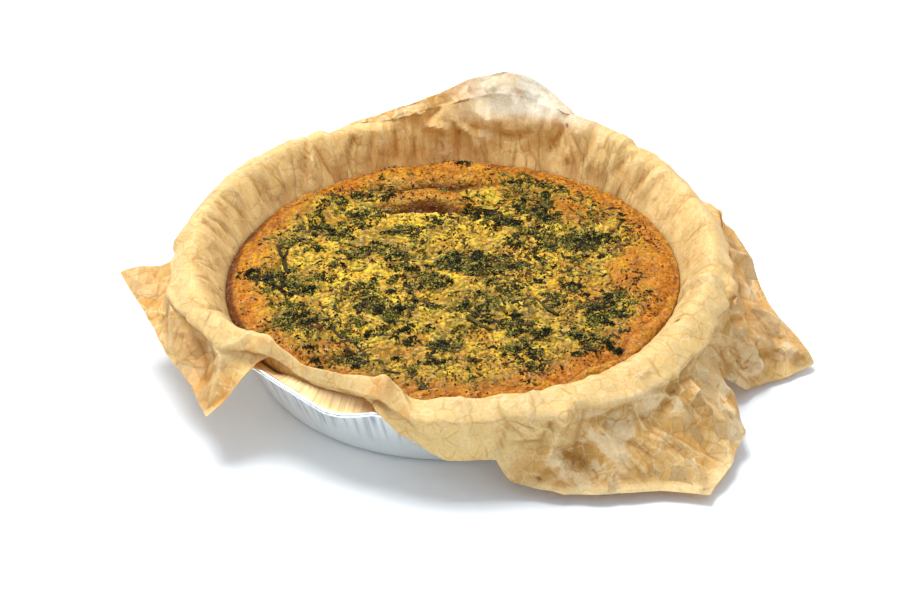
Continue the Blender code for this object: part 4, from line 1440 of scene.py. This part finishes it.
# stems that stand out: x, y, length, half width, heading and tone
stemRows = (
    (-79.8, 19.5, 9.5, 0.9, -70, 0.08), (-77.0, 19.8, 9.8, 0.8, -104, 0.05),
    (-77.0, 10.0, 12.5, 1.1, -78, 0.1), (-40, 6, 12, 0.6, 14, 0.9), (-58.5, 36, 9.7, 0.8, 31, 0.1),
    (-25, 38.8, 11, 0.7, 7, 0.1),
    (45, 54, 7.5, 1.3, -50, 0.35), (11, -43, 15, 1.0, -48, 0.35), (41, -29, 17, 1.0, -54, 0.25),
    (13, 8, 10, 0.7, 20, 0.75), (-52, -44, 12, 0.8, -62, 0.15), (-46, -60, 11, 0.8, -60, 0.15),
)
# wide dark leaves: x, y, length, width, heading and tone
leafRows = (
    (15.5, 56, 19, 3.4, -25, 0.0), (27, 48, 9, 2.6, -28, 0.1), (9.5, 9.5, 5, 2.6, -30, 1.0),
    (-68.6, -38.5, 6, 3.0, 10, 1.0), (-60, -44, 5, 2.4, 30, 0.9), (-86, 1, 8, 2.0, -20, 0.0),
)


def herbDensity(x, y):
    flat = np.stack([x, y], axis=1)
    radius = np.hypot(x, y)
    crowd = smoothStep(-0.25, 0.55, softNoise(flat, 6.5, 51)) * 0.8 + 0.12
    crowd *= smoothStep(-0.7, 0.5, softNoise(flat, 22, 52)) * 0.75 + 0.25
    crowd = np.maximum(crowd, 1.1 * strongest(x, y, herbPatches))
    crowd = crowd ** 1.3 * (1 - 0.85 * strongest(x, y, yellowPatches))
    crowd *= 1 + 0.5 * smoothStep(-20, -60, y)
    crowd *= 1 - 0.93 * smoothStep(86, 97, radius)
    crowd *= 1 - 0.85 * bareShare(x, y)
    return crowd


def scatter(count, seed, density):
    rng = np.random.default_rng(seed)
    found = np.empty((0, 2))
    while len(found) < count:
        radius = bits["field"] * np.sqrt(rng.random(4 * count))
        angle = rng.uniform(0, 2 * math.pi, 4 * count)
        x, y = radius * np.cos(angle), radius * np.sin(angle)
        kept = rng.random(len(x)) < density(x, y)
        found = np.concatenate([found, np.stack([x[kept], y[kept]], axis=1)])
    return found[:count]


def addCrumbShape():
    # one rough lump, copied for every crumb
    bpy.ops.mesh.primitive_cone_add(vertices=4, radius1=1, depth=1, end_fill_type="TRIFAN",
                                    location=(0, 0, 0.5))
    bpy.ops.object.transform_apply(location=True)
    places, faces = takeShape(bpy.context.object)
    places[(np.hypot(places[:, 0], places[:, 1]) < 0.1) & (places[:, 2] < 0.5), 2] = -1
    return places, faces


def randomTurns(rng, count):
    # rotation matrices from random quaternions
    q = rng.normal(size=(count, 4))
    q /= np.linalg.norm(q, axis=1, keepdims=True)
    w, x, y, z = q.T
    return np.stack([
        np.stack([1 - 2 * (y * y + z * z), 2 * (x * y - z * w), 2 * (x * z + y * w)], axis=1),
        np.stack([2 * (x * y + z * w), 1 - 2 * (x * x + z * z), 2 * (y * z - x * w)], axis=1),
        np.stack([2 * (x * z - y * w), 2 * (y * z + x * w), 1 - 2 * (x * x + y * y)], axis=1),
    ], axis=1)


def joinCopies(name, shape, faces, centres, sizes, turns, jitter, tones, seed):
    # one mesh from many copies of a shape, each with its own place, size, turn and tone
    rng = np.random.default_rng(seed)
    count, corners = len(centres), len(shape)
    bodies = shape[None] * (1 + jitter * rng.uniform(-1, 1, (count, corners, 1)))
    bodies = bodies * sizes[:, None, :]
    bodies = np.einsum("nij,nkj->nki", turns, bodies) + centres[:, None, :]
    index = np.array(faces)[None] + (np.arange(count) * corners)[:, None, None]
    mesh = bpy.data.meshes.new(name)
    mesh.from_pydata((bodies.reshape(-1, 3) * mm).tolist(), [],
                     index.reshape(-1, index.shape[2]).tolist())
    piece = bpy.data.objects.new(name, mesh)
    bpy.context.scene.collection.objects.link(piece)
    writeAttribute(piece, "tone", np.repeat(tones, corners))
    return piece


def bitFinish(name, stops, roughness):
    material, tree, shader = newFinish(name, {"Roughness": roughness, "Specular IOR Level": 0.12})
    place = objectPlace(tree)
    uneven = multiply(tree, mottle(tree, place, 0.8, 0.3, 0.7), 0.35)
    tone = calculate(tree, "ADD", attributeOf(tree, "tone"), uneven)
    tone = calculate(tree, "SUBTRACT", tone, 0.17, clamp=True)
    feed(tree, shader.inputs["Base Color"], colourRamp(tree, tone, stops))
    addBump(tree, shader, noise(tree, place, 1800.0, 3.0), 0.6, 0.3)
    return material


def settlePiece(piece, material):
    piece.data.materials.append(material)
    smoothShade(piece)
    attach(piece, "root")


def makeCrumbs(name, count, radii, stops, seed, density):
    # single crumbs, spread over the whole top
    shape, faces = addCrumbShape()
    rng = np.random.default_rng(seed)
    spots = scatter(count, seed + 1, density)
    radius = rng.uniform(radii[0] ** 0.5, radii[1] ** 0.5, count) ** 2
    z = topHeight(spots[:, 0], spots[:, 1]) + radius * rng.uniform(-0.4, 0.3, count)
    sizes = radius[:, None] * rng.uniform(0.6, 1.25, (count, 3))
    piece = joinCopies(name, shape, faces, np.column_stack([spots, z]), sizes, randomTurns(rng, count),
                       0.18, rng.random(count), seed + 2)
    settlePiece(piece, bitFinish(name.replace("_", " "), stops, 0.5))


def makeFlorets(name, count, stops, seed, atClumps):
    # each floret is a low heap of small grains
    shape, faces = addCrumbShape()
    rng = np.random.default_rng(seed)
    middles = scatter(count, seed + 1, heartDensity)
    low, high = bits["floretRadius"]
    size = low + (high - low) * rng.random(count) ** 2.2
    if atClumps:
        share = bits["clumpFlorets"] * len(clumps)
        middles[:share] = (np.repeat(np.array(clumps), bits["clumpFlorets"], axis=0)
                           + rng.normal(0, bits["clumpSpread"], (share, 2)))
        size[:share] = rng.uniform(bits["clumpLeastRadius"], high, share)
    grains = np.maximum(2, (bits["grainsPerArea"] * math.pi * size**2).astype(int))
    owner = np.repeat(np.arange(count), grains)
    total = len(owner)
    away = np.sqrt(rng.random(total))
    angle = rng.uniform(0, 2 * math.pi, total)
    heading = rng.uniform(0, math.pi, count)[owner]
    narrow = rng.uniform(0.5, 1, count)[owner]
    dx, dy = away * np.cos(angle), away * np.sin(angle) * narrow
    spots = middles[owner] + size[owner][:, None] * np.stack([
        dx * np.cos(heading) - dy * np.sin(heading),
        dx * np.sin(heading) + dy * np.cos(heading)], axis=1)
    inside = np.hypot(*spots.T) < bits["field"]
    owner, away, spots = owner[inside], away[inside], spots[inside]
    total = len(owner)
    radius = rng.uniform(*bits["grain"], total)
    heap = bits["floretHeight"] * size[owner] * (1 - away**2) * rng.uniform(0.5, 1.0, total)
    z = topHeight(spots[:, 0], spots[:, 1]) + heap - 0.15
    sizes = radius[:, None] * rng.uniform(0.75, 1.2, (total, 3))
    tones = 0.25 * rng.random(count)[owner] + 0.7 * rng.random(total) ** 1.6 + 0.15 * away
    piece = joinCopies(name, shape, faces, np.column_stack([spots, z]), sizes, randomTurns(rng, total),
                       0.15, np.clip(tones, 0, 1), seed + 2)
    settlePiece(piece, bitFinish(name.replace("_", " "), stops, 0.42))
    print(name, total, "grains")


def makeStems():
    # short bent stalks, thicker at one end
    bpy.ops.mesh.primitive_cylinder_add(vertices=7, radius=1, depth=2, end_fill_type="TRIFAN",
                                        rotation=(0, math.pi / 2, 0))
    bpy.ops.object.transform_apply(rotation=True)
    bpy.ops.object.mode_set(mode="EDIT")
    bpy.ops.mesh.select_all(action="SELECT")
    bpy.ops.mesh.subdivide(number_cuts=2)
    bpy.ops.mesh.quads_convert_to_tris()
    bpy.ops.object.mode_set(mode="OBJECT")
    shape, faces = takeShape(bpy.context.object)
    shape[:, 1:] *= (1 - 0.25 * shape[:, :1])
    shape[:, 1] += 0.5 * shape[:, 0] ** 2
    seed, count = bits["stemSeed"], bits["stems"]
    rng = np.random.default_rng(seed)
    spots = scatter(count, seed + 1, herbDensity)
    (shortest, longest), (thin, thick) = bits["stemSize"]
    rows = np.column_stack([spots, rng.uniform(shortest, longest, count),
                            rng.uniform(thin, thick, count) / 2,
                            rng.uniform(0, 360, count), rng.random(count)])
    rows = np.concatenate([rows, np.array(stemRows)])
    sizes = np.stack([rows[:, 2] / 2, rows[:, 3], 0.8 * rows[:, 3]], axis=1)
    z = topHeight(rows[:, 0], rows[:, 1]) + 0.25 * rows[:, 3]
    piece = joinCopies("broccoli_stems", shape, faces, np.column_stack([rows[:, :2], z]), sizes,
                       turnsAbout(2, np.radians(rows[:, 4])), 0.04, rows[:, 5], seed + 2)
    settlePiece(piece, bitFinish("broccoli stems", bits["stemColours"], 0.4))


def makeShreds():
    # thin curled strips of leaf
    bpy.ops.mesh.primitive_grid_add(x_subdivisions=6, y_subdivisions=3, size=2)
    addWall(bpy.context.object, 60, 0)
    shape, faces = takeShape(bpy.context.object)
    shape[:, 1] *= 1 - 0.6 * np.abs(shape[:, 0]) ** 2
    shape[:, 2] += 0.35 * shape[:, 0] ** 2 + 0.25 * np.sin(5 * shape[:, 0]) - 0.3 * shape[:, 1] ** 2
    seed, count = bits["shredSeed"], bits["shreds"]
    rng = np.random.default_rng(seed)
    spots = scatter(count, seed + 1, herbDensity)
    length = rng.uniform(*bits["shredLength"], count)
    rows = np.column_stack([spots, length, length * rng.uniform(0.16, 0.4, count),
                            rng.uniform(0, 360, count), rng.random(count)])
    rows = np.concatenate([rows, np.array(leafRows)])
    count = len(rows)
    sizes = np.stack([rows[:, 2] / 2, rows[:, 3] / 2, rng.uniform(0.4, 1.1, count)], axis=1)
    turns = np.einsum("nij,njk->nik", turnsAbout(2, np.radians(rows[:, 4])),
                      turnsAbout(0, rng.normal(0, 0.35, count)))
    z = topHeight(rows[:, 0], rows[:, 1]) + rng.uniform(-0.1, 0.5, count)
    piece = joinCopies("leaf_shreds", shape, faces, np.column_stack([rows[:, :2], z]), sizes,
                       turns, 0.06, rows[:, 5], seed + 2)
    settlePiece(piece, bitFinish("leaf shreds", bits["shredColours"], 0.3))


def turnsAbout(axis, angles):
    c, s, zero, one = np.cos(angles), np.sin(angles), np.zeros(len(angles)), np.ones(len(angles))
    if axis == 2:
        rows = ((c, -s, zero), (s, c, zero), (zero, zero, one))
    else:
        rows = ((one, zero, zero), (zero, c, -s), (zero, s, c))
    return np.stack([np.stack(row, axis=1) for row in rows], axis=1)


def heartDensity(x, y):
    # where the broccoli crowds together
    flat = np.stack([x, y], axis=1)
    crowd = 0.05 + 0.55 * smoothStep(0.05, 0.6, softNoise(flat, 9, 53))
    crowd = np.maximum(crowd, 1.2 * strongest(x, y, herbPatches) ** 1.5)
    crowd *= 1 - 0.96 * smoothStep(84, 95, np.hypot(x, y))
    return crowd * (1 - 0.9 * bareShare(x, y))


def brownDensity(x, y):
    flat = np.stack([x, y], axis=1)
    return 0.06 + 0.94 * smoothStep(0.15, 0.55, softNoise(flat, 10, 82))


makeCrumbs("loose_green_crumbs", bits["looseGreen"], bits["looseGreenRadius"],
           bits["greenColours"], 65, herbDensity)
makeCrumbs("browned_crumbs", bits["brownCrumbs"], bits["brownRadius"],
           bits["brownColours"], 69, brownDensity)
makeCrumbs("loose_dark_crumbs", bits["looseDark"], bits["looseDarkRadius"],
           bits["darkColours"], 61, herbDensity)
makeFlorets("green_florets", bits["greenFlorets"], bits["greenColours"], 95, False)
makeFlorets("dark_florets", bits["darkFlorets"], bits["darkColours"], 99, True)
makeShreds()
makeStems()
print("broccoli done")
